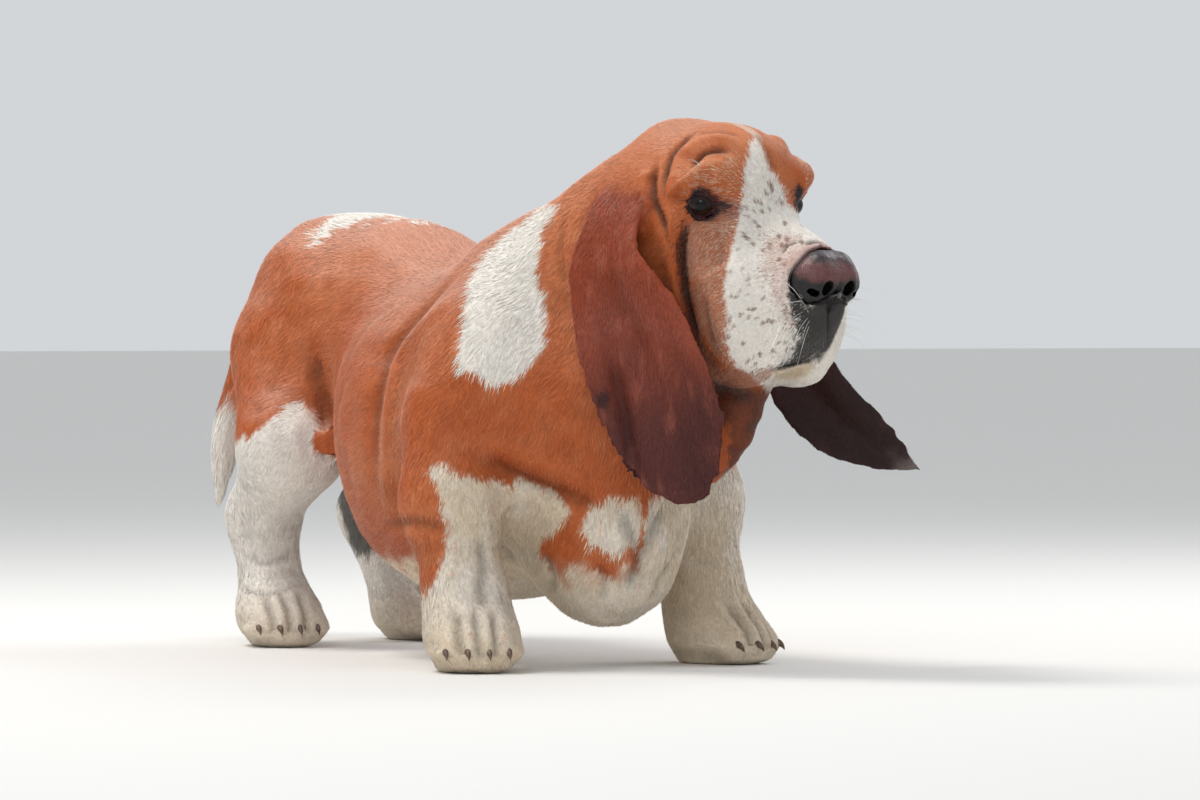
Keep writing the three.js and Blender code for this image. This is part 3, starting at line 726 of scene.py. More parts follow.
def coatColour(p, n, part, hollow, rim, toNose, flutter):
    d, h = inDog(p), inHead(p)
    fine = latticeNoise(p, 0.0035, 11)
    mid = latticeNoise(p, 0.011, 12)
    wide = latticeNoise(p, 0.05, 13)
    hidden = (d[:, 1] > 0) & ((n @ viewBack < 0.0) | (d[:, 2] > 230))
    bodyFlip = fromDog(np.where(hidden[:, None], d * (1, -1, 1), d))
    faceFlip = fromHead(np.stack([h[:, 0], -np.abs(h[:, 1]), h[:, 2]], 1))
    bodyPixels, facePixels = onPhoto(bodyFlip), onPhoto(faceFlip)
    herePixels = onPhoto(p)
    seen = (h[:, 1] > 0) & (h[:, 1] < 32)  # the part of the far side that the photo shows
    facePixels = np.where(seen[:, None], herePixels, facePixels)

    def mask(name, pixels, within):
        edge = ragged[name]
        value = insideOutline(pixels, outlines[name]) + (mid + 0.8 * fine) * edge
        value = value + flutter * softness.get(name, plainSoftness)
        return ease(-1.6, 1.6, value) * within

    def onFace(name):
        return mask(name, facePixels, headPart)

    headPart, earPart = np.clip(part["head"], 0, 1), np.clip(part["ear"] * 1.4, 0, 1)
    body = np.clip(1 - headPart - earPart, 0, 1)
    hind = part["hind_right"] + part["hind_left"]

    def paint(base, name, amount):
        return mixed(base, tint[name], np.clip(amount, 0, 1)[:, None])

    c = np.tile(tint["tan"], (len(p), 1))
    c = paint(c, "paleTan", 0.45 * ease(-0.5, 0.9, wide) + 0.25 * mid)
    # Painted light: where the coat faces up it is paler and pinker, a painted sheen on the back, neck and top of
    # the head; where it faces down it is darker, painted shade.
    top = ease(0.2, 0.95, n[:, 2])
    c = paint(c, "pinkTan", top * body * ease(230, 160, d[:, 0]) * 0.95)
    c = paint(c, "paleTan", top * 0.7 * np.clip(part["neck"] + headPart, 0, 1))
    c = paint(c, "pinkTan", headPart * ease(0.55, 0.95, n @ headAxes[2]) * ease(-20, -60, h[:, 0]) * 0.6)
    c = paint(c, "deepTan", 0.5 * ease(0.2, 0.8, -n[:, 2]) * body)
    # white of the body
    torsoLike = np.clip(part["torso"] + part["neck"] + part["tail"], 0, 1)
    hindPart = np.clip((hind + part["torso"]) * (d[:, 0] < -90), 0, 1) * (d[:, 1] < 15)
    white = np.max([
        mask("neck", bodyPixels, body * (d[:, 2] > 150) * ease(100, 130, d[:, 0])),
        # the croup's white patch; the outline's thin strip along the top of the back is a painted highlight
        mask("croup", bodyPixels, body * ease(0.25, 0.5, n[:, 2]) * ease(30, -20, d[:, 0])),
        mask("hind", bodyPixels, hindPart),
        ease(-12, 12, 196 - d[:, 2] + 18 * mid) * part["hind_left"],
        ease(-10, 10, 196 - d[:, 2] + 12 * mid) * np.clip(part["tail"] * 1.5, 0, 1),
    ], axis=0)
    low = np.max([
        mask("chest", bodyPixels, (d[:, 0] > 120) * body),
        mask("keel", bodyPixels, (d[:, 0] > 160) * body),
        mask("keelBand", bodyPixels, (d[:, 0] > 160) * body),
        mask("foreRight", bodyPixels, np.clip(part["fore_right"] * 1.5, 0, 1)),
        ease(-14, 14, 168 - d[:, 2] + 16 * mid) * np.clip(part["fore_left"] * 1.5, 0, 1),
        ease(-10, 10, 76 - d[:, 2] + 12 * mid) * np.clip(torsoLike * 1.2, 0, 1),
    ], axis=0)
    c = paint(c, "white", white)
    c = paint(c, "cream", low)
    c = paint(c, "white", low * ease(-0.4, 0.7, wide + 0.5 * mid) * 0.6)
    # Whites turn cream towards the floor.
    towardFloor = np.maximum(low, white) * ease(60, 10, d[:, 2])
    c = paint(c, "cream", towardFloor * 0.7)
    freckles = ease(0.66, 0.8, latticeNoise(p, 0.0045, 31)) * ease(0.0, 0.4, latticeNoise(p, 0.03, 32))
    c = paint(c, "paleTan", freckles * np.maximum(low, part["fore_right"] * 0.7) * 0.6)
    c = paint(c, "black", mask("darkLeg", herePixels, part["hind_left"] * (n @ viewBack > -0.2)) * 0.85)
    # face
    front = headPart * ease(-0.25, 0.0, n @ viewBack) * ease(19, 15, h[:, 1])
    blaze = onFace("blaze")
    speckle = np.zeros(len(p))
    for x, y, size in freckleSpots:
        away = np.hypot(facePixels[:, 0] - x, facePixels[:, 1] - y) + 0.8 * fine
        speckle = np.maximum(speckle, ease(size + 0.8, size - 0.6, away))
    cheekShade = onFace("cheekShade")
    c = paint(c, "deepTan", cheekShade * 0.9)
    c = paint(c, "black", cheekShade * 0.55)
    # Darker where the head faces down, painted shade, broken by a random tone.
    c = paint(c, "deepTan", headPart * ease(-0.2, 0.7, wide - n @ headAxes[2]) * 0.35)
    roan = onFace("roan")
    c = paint(c, "roan", roan * 0.6)
    c = paint(c, "cream", roan * (flutter > 0.05) * (0.2 + 0.4 * ease(690, 735, facePixels[:, 0])))
    c = paint(c, "deepTan", roan * (flutter < -0.7) * 0.4)
    c = paint(c, "cream", onFace("browRoan") * (flutter > 0.15) * 0.6)
    c = paint(c, "white", blaze)
    c = paint(c, "freckle", blaze * speckle * 0.8)
    muzzleRoan = onFace("muzzleRoan")
    c = paint(c, "pink", muzzleRoan * 0.35)
    c = paint(c, "freckle", muzzleRoan * (flutter > 0.25) * 0.7)
    fringe = onFace("fringe")
    c = paint(c, "roan", fringe * 0.75)
    c = paint(c, "black", fringe * (flutter > 0.35) * 0.8)
    c = paint(c, "haw", onFace("innerCorner") * (flutter > -0.2) * 0.5)
    # The far eye's hollow painted dark: dark lids and painted shade.
    c = paint(c, "rim", mask("farEye", herePixels, headPart * seen))
    underNose = headPart * ease(84, 90, h[:, 0]) * ease(-44, -54, h[:, 2]) * ease(17, 13, np.abs(h[:, 1]))
    nearLip = mask("lipDark", herePixels, front)
    lipDark = np.maximum(nearLip, underNose)
    c = paint(c, "lip", lipDark * 0.95)
    c = paint(c, "grey", lipDark * (flutter > 0.45) * ease(318, 350, herePixels[:, 1]) * 0.5)
    c = paint(c, "cream", mask("lowerLip", herePixels, front))
    # The skin ring round the leather takes the leather's tones: near black below, painted shade, and lighter
    # above, a painted highlight.
    ring = ease(4.5, 2.0, toNose + mid + flutter) * headPart
    c = paint(c, "pink", ease(9, 4, toNose + 2 * mid) * headPart * ease(-40, -26, h[:, 2]) * 0.5)
    c = paint(c, "lip", ring * ease(-22, -40, h[:, 2]))
    c = paint(c, "noseTop", ring * ease(-40, -24, h[:, 2]) * 0.8)
    crown = headPart * ease(6, 3, np.abs(h[:, 1])) * ease(-34, -24, h[:, 0]) * ease(30, 40, h[:, 2])
    c = paint(c, "white", crown * 0.5 * ease(8, -6, h[:, 0]))
    # The throat and dewlap under the jaw darkened: painted shade.
    throat = mask("throat", herePixels, (1 - earPart) * (n @ viewBack > -0.7) * ease(-126, -138, h[:, 2])
                  * ease(300, 315, d[:, 0]))
    c = paint(c, "earInner", throat * (0.72 + 0.15 * mid))
    # ears
    fall = ease(330, 160, d[:, 2] + 26 * wide)
    ear = mixed(tint["earTop"], tint["earMid"], ease(0.0, 0.5, fall)[:, None])
    ear = mixed(ear, tint["earLow"], ease(0.45, 1.0, fall)[:, None])
    c = mixed(c, ear, earPart[:, None])
    blotch = ease(0.1, 0.8, latticeNoise(p, 0.03, 51)) * 0.4
    c = paint(c, "earInner", blotch * earPart * fall)
    leftEar = np.clip(part["ear_left"] * 1.5, 0, 1)
    spotAway = np.hypot((herePixels[:, 0] - 602) / 8, (herePixels[:, 1] - 399) / 14) + 0.3 * mid
    c = paint(c, "earInner", ease(1.3, 0.3, spotAway) * (n @ viewBack > 0) * earPart * 0.8)
    c = paint(c, "earLight", earPart * ease(0.2, 0.8, latticeNoise(p * (1, 1, 0.25), 0.006, 52)) * 0.45)
    c = paint(c, "earInner", leftEar * ease(-0.2, 0.3, n @ viewBack) * 0.9)
    tipGrey = leftEar * ease(206, 236, d[:, 1] + 8 * mid) * ease(-0.6, 0.5, mid)
    c = paint(c, "earGrey", tipGrey * 0.6)
    # eye rims: dark lid skin, with painted shade from the brow in the dark round the near eye; haw; then painted
    # shade in creases
    c = paint(c, "rim", mask("nearEye", facePixels, headPart * (n @ headAxes[0] > -0.2)) * 0.92)
    c = paint(c, "rim", ease(5.6, 2.6, rim + 1.0 * mid + 1.2 * flutter))
    c = paint(c, "haw", ease(1.4, 0.4, rim) * (n @ headAxes[2] > 0.1) * 0.8)
    c = c * (1 - mixed(0.4, 0.8, headPart)[:, None] * hollow[:, None] ** 1.2)
    # which coat a tuft belongs to: tan, white or dark
    kind = np.where(np.maximum(np.maximum(white, low), blaze) > 0.5, 1, 0)
    kind = np.where(headPart * nearLip > 0.5, 2, kind)
    kind = np.where((earPart > 0.5) & (fall > 0.5), 2, kind)
    return np.clip(c, 0.002, 1), kind


# A socket whose sums and products add their own Math nodes.
class Wire:
    def __init__(self, look, socket):
        self.look, self.socket = look, socket

    def _math(self, operation, *values):
        return self.look.node("ShaderNodeMath", {"operation": operation}, *values)

    def __add__(self, other):
        return self._math("ADD", self, other)

    def __mul__(self, other):
        return self._math("MULTIPLY", self, other)

    __radd__, __rmul__ = __add__, __mul__


class Look:
    def __init__(self, name, **constants):
        self.material = bpy.data.materials.new(name)
        self.material.use_nodes = True
        self.tree = self.material.node_tree
        self.shader = self.tree.nodes["Principled BSDF"]
        for socket, value in constants.items():
            self.shader.inputs[socket.replace("_", " ")].default_value = value

    def node(self, kind, settings=None, *values, out=0, numbered=None, **named):
        node = self.tree.nodes.new(kind)
        for key, value in (settings or {}).items():
            if key == "stops":
                ramp = node.color_ramp
                while len(ramp.elements) < len(value):
                    ramp.elements.new(0.5)
                for element, (place, colour) in zip(ramp.elements, value):
                    element.position, element.color = place, (*colour, 1)
            else:
                setattr(node, key, value)
        for key, value in [*enumerate(values), *(numbered or {}).items(), *named.items()]:
            self.put(node.inputs[key if isinstance(key, int) else key.replace("_", " ")], value)
        return Wire(self, node.outputs[out])

    def put(self, socket, value):
        if isinstance(value, Wire):
            self.tree.links.new(value.socket, socket)
        elif socket.type == "RGBA" and len(value) == 3:
            socket.default_value = (*value, 1)
        else:
            socket.default_value = value

    # The colour, darkened by so much of the shade.
    def shaded(self, share, colour, shade):
        return self.node("ShaderNodeMix", {"data_type": "RGBA", "blend_type": "MULTIPLY"}, out=2,
                         numbered={0: share, 6: colour, 7: shade})

    def ramp(self, stops, value):
        return self.node("ShaderNodeValToRGB", {"stops": stops}, value)

    def painted(self, name):
        return self.node("ShaderNodeAttribute", {"attribute_name": name})

    def place(self):
        return self.node("ShaderNodeTexCoord", out=3)

    def grain(self, scale, detail=4.0, **more):
        return self.node("ShaderNodeTexNoise", None, Vector=self.place(), Scale=scale, Detail=detail, **more)

    def bump(self, height, distance, strength=1.0):
        made = self.node("ShaderNodeBump", None, Height=height, Distance=distance, Strength=strength)
        self.tree.links.new(made.socket, self.shader.inputs["Normal"])

    def feed(self, **sockets):
        for name, value in sockets.items():
            self.put(self.shader.inputs[name.replace("_", " ")], value)


# Finishes
skinLook = Look("short_coat", Specular_IOR_Level=0.25)
streaks = skinLook.ramp([(0.3, (0.3, 0.3, 0.3)), (0.7, (1, 1, 1))], skinLook.grain(420.0, 5.0))
skinLook.feed(Base_Color=skinLook.shaded(0.35, skinLook.painted("coat"), streaks))
skinLook.feed(Roughness=skinLook.grain(120.0) * 0.2 + 0.6)
skinLook.bump(skinLook.grain(900.0, 6.0), 0.0006, 0.6)


def hairLook(name, roughness, gloss, sheen):
    look = Look(name, Specular_IOR_Level=gloss, Sheen_Weight=sheen, Sheen_Roughness=0.4)
    dust = look.ramp([(0.35, (0.72, 0.7, 0.68)), (0.65, (1, 1, 1))], look.grain(260.0, 3.0))
    look.feed(Base_Color=look.shaded(0.25, look.painted("coat"), dust))
    look.feed(Roughness=look.grain(180.0) * 0.16 + (roughness - 0.08))
    return look


coatLooks = [
    ("coat_tan", hairLook("tan_hair", 0.52, 0.38, 0.12)),
    ("coat_white", hairLook("white_hair", 0.58, 0.3, 0.05)),
    ("coat_dark", hairLook("dark_hair", 0.5, 0.25, 0.02)),
]

skinColour = coatColour(points, normals, part, hollow, rim, toNose, np.zeros(len(points)))[0]
paintPoints(skinMesh, "coat", skinColour)
skinPiece = pieceOf("skin", skinMesh, skinLook.material, flesh)
smoothShaded(skinMesh)
bpy.context.view_layer.objects.active = skinPiece
skinPiece.select_set(True)
bpy.ops.object.mode_set(mode="EDIT")
bpy.ops.mesh.select_all(action="SELECT")
bpy.ops.uv.smart_project(angle_limit=1.15, island_margin=0.001)
bpy.ops.object.mode_set(mode="OBJECT")
skinMesh.uv_layers.active.name = "OFBake"
print("skin coloured and unwrapped")

# Lie of the coat: guide points with the way the hair runs there.
headLie = [
    ((104, 0, -14), (-1, 0, 0.5)), ((80, 0, -8), (-1, 0, 0.3)), ((40, 0, 8), (-1, 0, 0.35)),
    ((0, 0, 46), (-1, 0, 0.5)), ((-50, 0, 58), (-1, 0, 0)), ((-100, 0, 40), (-1, 0, -0.5)),
    ((90, 26, -50), (-0.8, 0.3, -0.5)), ((60, 40, -70), (-0.5, 0.15, -0.85)), ((50, 36, -110), (-0.35, 0, -1)),
    ((96, 14, -90), (-0.3, 0.2, -1)), ((10, 52, -40), (-0.4, 0.1, -0.9)), ((-4, 54, 24), (-0.7, 0.4, 0.3)),
    ((-40, 62, 10), (-0.8, 0.1, -0.5)), ((-30, 60, -60), (-0.7, 0, -0.7)), ((84, 0, -114), (-1, 0, -0.4)),
    ((20, 34, 4), (-0.9, 0.5, 0.1)),
]
bodyLie = [
    ((200, 0, 336), (-0.9, 0, -0.35)), ((250, 96, 250), (-0.55, 0, -0.8)), ((300, 60, 250), (-0.4, 0.2, -0.9)),
    ((330, 40, 180), (-0.4, 0, -0.9)), ((290, 0, 120), (-0.15, 0, -1)), ((190, 120, 200), (-0.6, 0, -0.75)),
    ((60, 0, 330), (-1, 0, 0)), ((-60, 0, 338), (-1, 0, 0)), ((50, 118, 200), (-0.85, 0, -0.5)),
    ((-60, 90, 210), (-0.8, 0, -0.5)), ((40, 60, 70), (-0.9, 0, -0.4)), ((-100, 60, 150), (-0.8, 0, -0.6)),
    ((-200, 0, 350), (-1, 0, -0.3)), ((-180, 96, 240), (-0.45, 0, -0.9)), ((-270, 50, 240), (-0.2, 0, -1)),
    ((-290, 0, 300), (-0.8, 0, -0.7)), ((-336, -30, 222), (-0.15, -0.3, -1)), ((-338, -50, 130), (0.1, -0.1, -1)),
    ((-170, 90, 130), (-0.3, 0, -0.95)), ((-230, 70, 90), (0.1, 0, -1)), ((-190, 72, 36), (0.5, 0, -0.85)),
    ((190, 110, 130), (-0.15, 0, -1)), ((222, 110, 80), (0, 0, -1)), ((250, 112, 34), (0.6, 0, -0.8)),
    ((250, 30, 60), (-0.6, 0, -0.6)),
]
earLie = {
    "ear_right": [((324, -20, 360), (0.1, -0.5, -0.9)), ((345, -50, 280), (0.12, -0.05, -1)),
                  ((372, -26, 190), (0.1, 0.1, -1)), ((386, -14, 130), (0.1, 0.15, -1))],
    "ear_left": [((302, 95, 350), (0.1, 0.5, -0.9)), ((307, 125, 270), (0.05, 0.4, -0.9)),
                 ((312, 174, 190), (0.05, 0.6, -0.75)), ((320, 236, 150), (0.05, 0.75, -0.6))],
}


def guided(points, guides, both, toWorld, axes):
    total = np.zeros_like(points)
    for place, way in guides:
        for side in ((1, -1) if both and place[1] else (1,)):
            at = toWorld(np.array(place) * (1, side, 1))
            weight = 1 / (np.sum((points - at) ** 2, 1) + 1e-4) ** 2
            total += weight[:, None] * unit(np.array(way) * (1, side, 1) @ axes)
    return unit(total)


straight = np.eye(3)
lie = guided(points, bodyLie, True, fromDog, straight)
headLies = guided(points, headLie, True, fromHead, headAxes)
lie = mixed(lie, headLies, np.clip(part["head"] * 1.3, 0, 1)[:, None])
for name, guides in earLie.items():
    earLies = guided(points, guides, False, fromDog, straight)
    lie = mixed(lie, earLies, np.clip(part[name] * 1.3, 0, 1)[:, None])
lie = unit(lie)

# Coat: flat tufts, each a thin closed blade with its root in the skin.
# Lengths are in mm; a blade's width and the lift of its tip grow with its length.
# shades: a blade is darker at its root and lighter at its tip, painted shade between the hairs and painted light
# on the tips.
coat = {"count": 350000, "perPiece": 49000, "rootDepth": 0.3, "ridge": 0.14,
        "lift": 0.085, "leastLift": 0.15, "widening": 0.04, "halfWidth": 0.17, "swirl": 0.35, "sway": 0.16,
        "shades": (0.84, 0.84, 1.0, 1.14), "lowest": 0.0003, "tipLowest": 0.0006}
length = {"head": 4.8, "ear": 6.5, "neck": 9.0, "torso": 8.5, "tail": 12.0, "legs": 7.5, "foot": 5.0}
d, h = inDog(points), inHead(points)
legs = np.clip(legShare, 0, 1)
footness = ease(52, 34, d[:, 2]) * legs
tuftLength = (part["head"] * length["head"] + part["ear"] * length["ear"] + part["neck"] * length["neck"]
              + part["torso"] * length["torso"] + part["tail"] * length["tail"] + legs * length["legs"])
tuftLength = mixed(tuftLength, length["foot"], footness)
muzzle = part["head"] * ease(10, 50, h[:, 0])
tuftLength = tuftLength * (1 - 0.35 * muzzle) * (1 - 0.45 * ease(16, 6, rim))
# Shorter and sparser on a thin edge, none on the lids and the leather.
evenness = ease(0.5, 0.82, np.linalg.norm(blurred(normals, average, 3), axis=1))
tuftLength = tuftLength * (0.4 + 0.6 * evenness)
density = 1 + 1.6 * part["head"] + 0.9 * part["ear"] + 0.8 * footness + 1.2 * muzzle + 1.5 * ease(16, 6, rim)
bare = (rim < 1.2) | (toNose < 2.0)
tuftLength = tuftLength * (1 - 0.5 * ease(9, 3, toNose))

triangles = trianglesOf(skinMesh)
loops = np.empty(len(skinMesh.loop_triangles) * 3, np.int32)
skinMesh.loop_triangles.foreach_get("loops", loops)
uv = np.empty(len(skinMesh.loops) * 2, np.float32)
skinMesh.uv_layers["OFBake"].data.foreach_get("uv", uv)
uvCorners = uv.reshape(-1, 2)[loops].reshape(-1, 3, 2)
corners = points[triangles]
area = np.linalg.norm(np.cross(corners[:, 1] - corners[:, 0], corners[:, 2] - corners[:, 0]), axis=1)
density = density * (0.1 + 0.9 * evenness)
chance = area * density[triangles].mean(1) * ~bare[triangles].any(1)
pick = np.sort(noise.choice(len(triangles), coat["count"], p=chance / chance.sum()))
a, b = noise.random(coat["count"]), noise.random(coat["count"])
flip = a + b > 1
a, b = np.where(flip, 1 - a, a), np.where(flip, 1 - b, b)
weights = np.stack([1 - a - b, a, b], 1)


def spread(values):
    return np.einsum("ij,ij...->i...", weights, values[triangles[pick]])


root, rootNormal = spread(points), unit(spread(normals))
rootPart = {k: spread(v) for k, v in part.items()}
rootUv = np.einsum("ij,ijk->ik", weights, uvCorners[pick])
rootLength = spread(tuftLength) * noise.uniform(0.7, 1.25, coat["count"])
way = spread(lie)
swirl = latticeNoise(root, 0.02, 61) * coat["swirl"] + noise.normal(0, coat["sway"], coat["count"])
way = way - rootNormal * np.sum(way * rootNormal, 1)[:, None]
way = unit(way)
aside = np.cross(rootNormal, way)
way = unit(way * np.cos(swirl)[:, None] + aside * np.sin(swirl)[:, None])
aside = np.cross(rootNormal, way)
tuftColour, tuftKind = coatColour(root, rootNormal, rootPart, spread(hollow), spread(rim), spread(toNose),
                                   noise.uniform(-1, 1, coat["count"]))
shade = noise.normal(1.0, 0.1, coat["count"])
tuftColour = np.clip(tuftColour * np.clip(shade, 0.6, 1.45)[:, None], 0.002, 0.95)
rootLength *= 1 - 0.4 * spread(hollow)
lift = coat["lift"] * noise.uniform(0.4, 1.7, coat["count"]) * rootLength + coat["leastLift"]
tip = root + way * (rootLength * mm)[:, None]
# The tips hug the skin; where it bends away under a tuft, the tuft is short instead.
tree = skinTree()
found = [tree.find_nearest(p) for p in tip.tolist()]
tipNormal = np.array([f[1] for f in found])
tip = np.array([f[0] for f in found]) + tipNormal * (lift * mm)[:, None]
turned = ease(0.75, 0.45, np.sum(tipNormal * rootNormal, 1))
short = root + (way * (0.35 * rootLength * mm)[:, None] + rootNormal * (0.3 * mm))
tip = mixed(tip, short, turned[:, None])
base = root - rootNormal * coat["rootDepth"] * mm
half = (rootLength * coat["widening"] + coat["halfWidth"]) * mm
tip[:, 2] = np.maximum(tip[:, 2], coat["tipLowest"])
blade = np.stack([base - aside * half[:, None], base + aside * half[:, None],
                  mixed(base, tip, 0.35) + rootNormal * (coat["ridge"] * mm), tip], 1)
blade[..., 2] = np.maximum(blade[..., 2], coat["lowest"])
bladeFaces = np.array([(0, 2, 1), (0, 3, 2), (1, 2, 3), (0, 1, 3)])
side = noise.uniform(-0.22, 0.22, coat["count"])
soft = unit(rootNormal + aside * side[:, None])
patch = np.array([(-1.5, -1.5), (1.5, -1.5), (0, 0), (0, 1.5)]) * mm
print("coat drawn:", coat["count"], "tufts")

total = 0
for k, (slotName, look) in enumerate(coatLooks):
    members = np.flatnonzero(tuftKind == k)
    for n, first in enumerate(range(0, len(members), coat["perPiece"])):
        chosen = members[first:first + coat["perPiece"]]
        faces = (bladeFaces[None] + 4 * np.arange(len(chosen))[:, None, None]).reshape(-1, 3)
        name = f"{slotName}_{n + 1}"
        mesh = meshOf(name, blade[chosen].reshape(-1, 3), faces)
        # Painted shade at each blade's root, painted light at its tip.
        shades = np.repeat(tuftColour[chosen], 4, 0) * np.tile(coat["shades"], len(chosen))[:, None]
        paintPoints(mesh, "coat", np.clip(shades, 0, 1))
        layer = mesh.uv_layers.new(name="OFBake")
        spots = (rootUv[chosen][:, None] + patch[None]).reshape(-1, 2)
        layer.data.foreach_set("uv", spots[faces.ravel()].astype(np.float32).ravel())
        mesh.normals_split_custom_set_from_vertices(np.repeat(soft[chosen], 4, 0).tolist())
        pieceOf(name, mesh, look.material)
        total += len(faces)
print("coat built:", total, "triangles")

# Eyes: ball with a raised cornea, coloured by how far a point lies from the gaze.
eyeball = {"radius": 13.0, "cornea": 1.1, "rings": 40, "segments": 56, "farthest": 1.6}
eyeStops = [(0.0, (0.003, 0.002, 0.002)), (0.19, (0.003, 0.002, 0.002)), (0.22, (0.02, 0.009, 0.005)),
            (0.38, (0.012, 0.006, 0.004)), (0.41, (0.005, 0.003, 0.003)), (0.47, (0.05, 0.02, 0.02)),
            (0.62, (0.1, 0.03, 0.03))]
for side, centre in eyes.items():
    gaze, nose, up = eyeAxes(side)
    bm = bmesh.new()
    bmesh.ops.create_uvsphere(bm, u_segments=eyeball["segments"], v_segments=eyeball["rings"],
                              radius=eyeball["radius"] * mm)
    mesh = bpy.data.meshes.new("eyeball_" + side)
    bm.to_mesh(mesh)
    bm.free()
    local = pointsOf(mesh)
    angle = np.arccos(np.clip(unit(local)[:, 2], -1, 1))
    local *= (1 + eyeball["cornea"] / eyeball["radius"] * ease(0.62, 0.1, angle))[:, None]
    movePoints(mesh, centre + local @ np.stack([nose, up, gaze]))
    smoothShaded(mesh)
    paintPoints(mesh, "gaze", np.stack([angle / eyeball["farthest"], angle * 0, angle * 0], 1))
    look = Look("eye_" + side, Roughness=0.07, Coat_Weight=0.1, Coat_Roughness=0.03, Specular_IOR_Level=0.18)
    iris = look.ramp(eyeStops, look.node("ShaderNodeSeparateColor", None, look.painted("gaze")))
    veins = look.ramp([(0.4, (0.5, 0.4, 0.4)), (0.6, (1, 1, 1))], look.grain(1400.0, 4.0))
    look.feed(Base_Color=look.shaded(0.3, iris, veins))
    pieceOf("eyeball_" + side, mesh, look.material, ["eye_" + side])
print("eyes made")

# Nose leather: the node's own form, finer, with a furrow between the nostrils.
leather = {"voxel": 1.0, "out": 0.15, "rounds": 5, "furrow": 1.1, "wing": 2.4, "nostril": (108, 11, -43)}
wingLine = [(109, 11, -43), (107, 15.5, -46.5), (103, 20, -47.5), (98, 23.5, -45), (93, 25, -42)]
noseMesh = closedSurface("nose_leather", ["nose"], leather["voxel"], leather["out"])
nosePoints = relaxed(pointsOf(noseMesh), smoothing(noseMesh), leather["rounds"])
movePoints(noseMesh, nosePoints)
nh = inHead(nosePoints)
furrow = np.exp(-(nh[:, 1] / 1.4) ** 2) * ease(92, 103, nh[:, 0])
furrow *= ease(-30, -38, nh[:, 2]) * leather["furrow"]
deep = np.full(len(nh), 99.0)
for side in (1, -1):
    away, place = alongLine(nosePoints, fromHead(smoothLine(np.array(wingLine) * (1, side, 1))))
    outside = ease(5.5, 8.0, np.linalg.norm(nh - np.array((109, side * 10.5, -43)), axis=1))
    slit = np.exp(-(away / mixed(3.0, 1.8, place)) ** 2) * ease(1.0, 0.6, place)
    furrow += leather["wing"] * slit * outside
    nostril = np.linalg.norm(nh - np.array(leather["nostril"]) * (1, side, 1), axis=1)
    deep = np.min([deep, nostril, 1.1 * away + 5 * place], axis=0)
saddle = 2.2 * np.exp(-(nh[:, 1] / 9) ** 2) * ease(-34, -24, nh[:, 2])
wings = np.exp(-((np.abs(nh[:, 1]) - 13) / 5) ** 2) * ease(-40, -30, nh[:, 2]) * ease(88, 98, nh[:, 0])
nosePoints -= normalsOf(noseMesh) * ((furrow + saddle - wings) * mm)[:, None]
movePoints(noseMesh, nosePoints)
smoothShaded(noseMesh)
nh = inHead(nosePoints)
# Leather tones: near black underneath, painted shade; lighter on top, a painted highlight; the warm band partly
# pinkish-brown leather, partly a painted highlight; the nostrils and the slits from them near black, painted
# shade in the holes.
blotch = 3 * latticeNoise(nosePoints, 0.008, 71)
warm = ease(-41, -34, nh[:, 2] + blotch) * ease(-21, -28, nh[:, 2] + blotch) * ease(86, 94, nh[:, 0])
leatherTones = {"under": (12, 9, 11), "top": (58, 46, 52), "warm": (118, 68, 66), "nostril": (5, 4, 4)}
tone = {name: linear(rgb) for name, rgb in leatherTones.items()}
noseColour = mixed(tone["under"], tone["top"], ease(-38, -26, nh[:, 2] + blotch)[:, None])
noseColour = mixed(noseColour, tone["warm"], 0.8 * warm[:, None])
noseColour = mixed(tone["nostril"], noseColour, ease(4.5, 8, deep)[:, None])
# Darker in the furrow and the wing slits: painted shade.
paintPoints(noseMesh, "coat", noseColour * (1 - 0.7 * np.clip(furrow / 3, 0, 1))[:, None])
noseLook = Look("nose_leather", Coat_Roughness=0.22, Specular_IOR_Level=0.35)
pebble = noseLook.node("ShaderNodeTexVoronoi", {"feature": "DISTANCE_TO_EDGE"},
                       Vector=noseLook.place(), Scale=620.0)
cracks = noseLook.ramp([(0.0, (0.35, 0.3, 0.32)), (0.25, (1, 1, 1))], pebble)
noseLook.feed(Base_Color=noseLook.shaded(0.5, noseLook.painted("coat"), cracks))
noseLook.feed(Roughness=noseLook.grain(300.0) * 0.2 + 0.3, Coat_Weight=noseLook.grain(90.0) * 0.2 + 0.08)
noseLook.bump(noseLook.node("ShaderNodeMath", {"operation": "MINIMUM"}, pebble, 0.25), 0.0009, 0.8)
pieceOf("nose_leather", noseMesh, noseLook.material, ["nose"])
print("nose made")

# Claws: short curved horn at each toe.
claws = {"length": 11.0, "radius": 3.1, "rings": 9, "sides": 12, "toes": (-24, -8, 8, 24), "height": 16.5,
         "sunk": 3.0, "curl": 1.15, "from": 150.0}
clawPoints, clawFaces = [], []


# Side faces between two rings of a tube whose points follow each other.
def ringFaces(first, rings, sides):
    made = []
    for i in range(rings - 1):
        for k in range(sides):
            a0, a1 = first + i * sides + k, first + i * sides + (k + 1) % sides
            made.append((a0, a1, a1 + sides, a0 + sides))
    return made


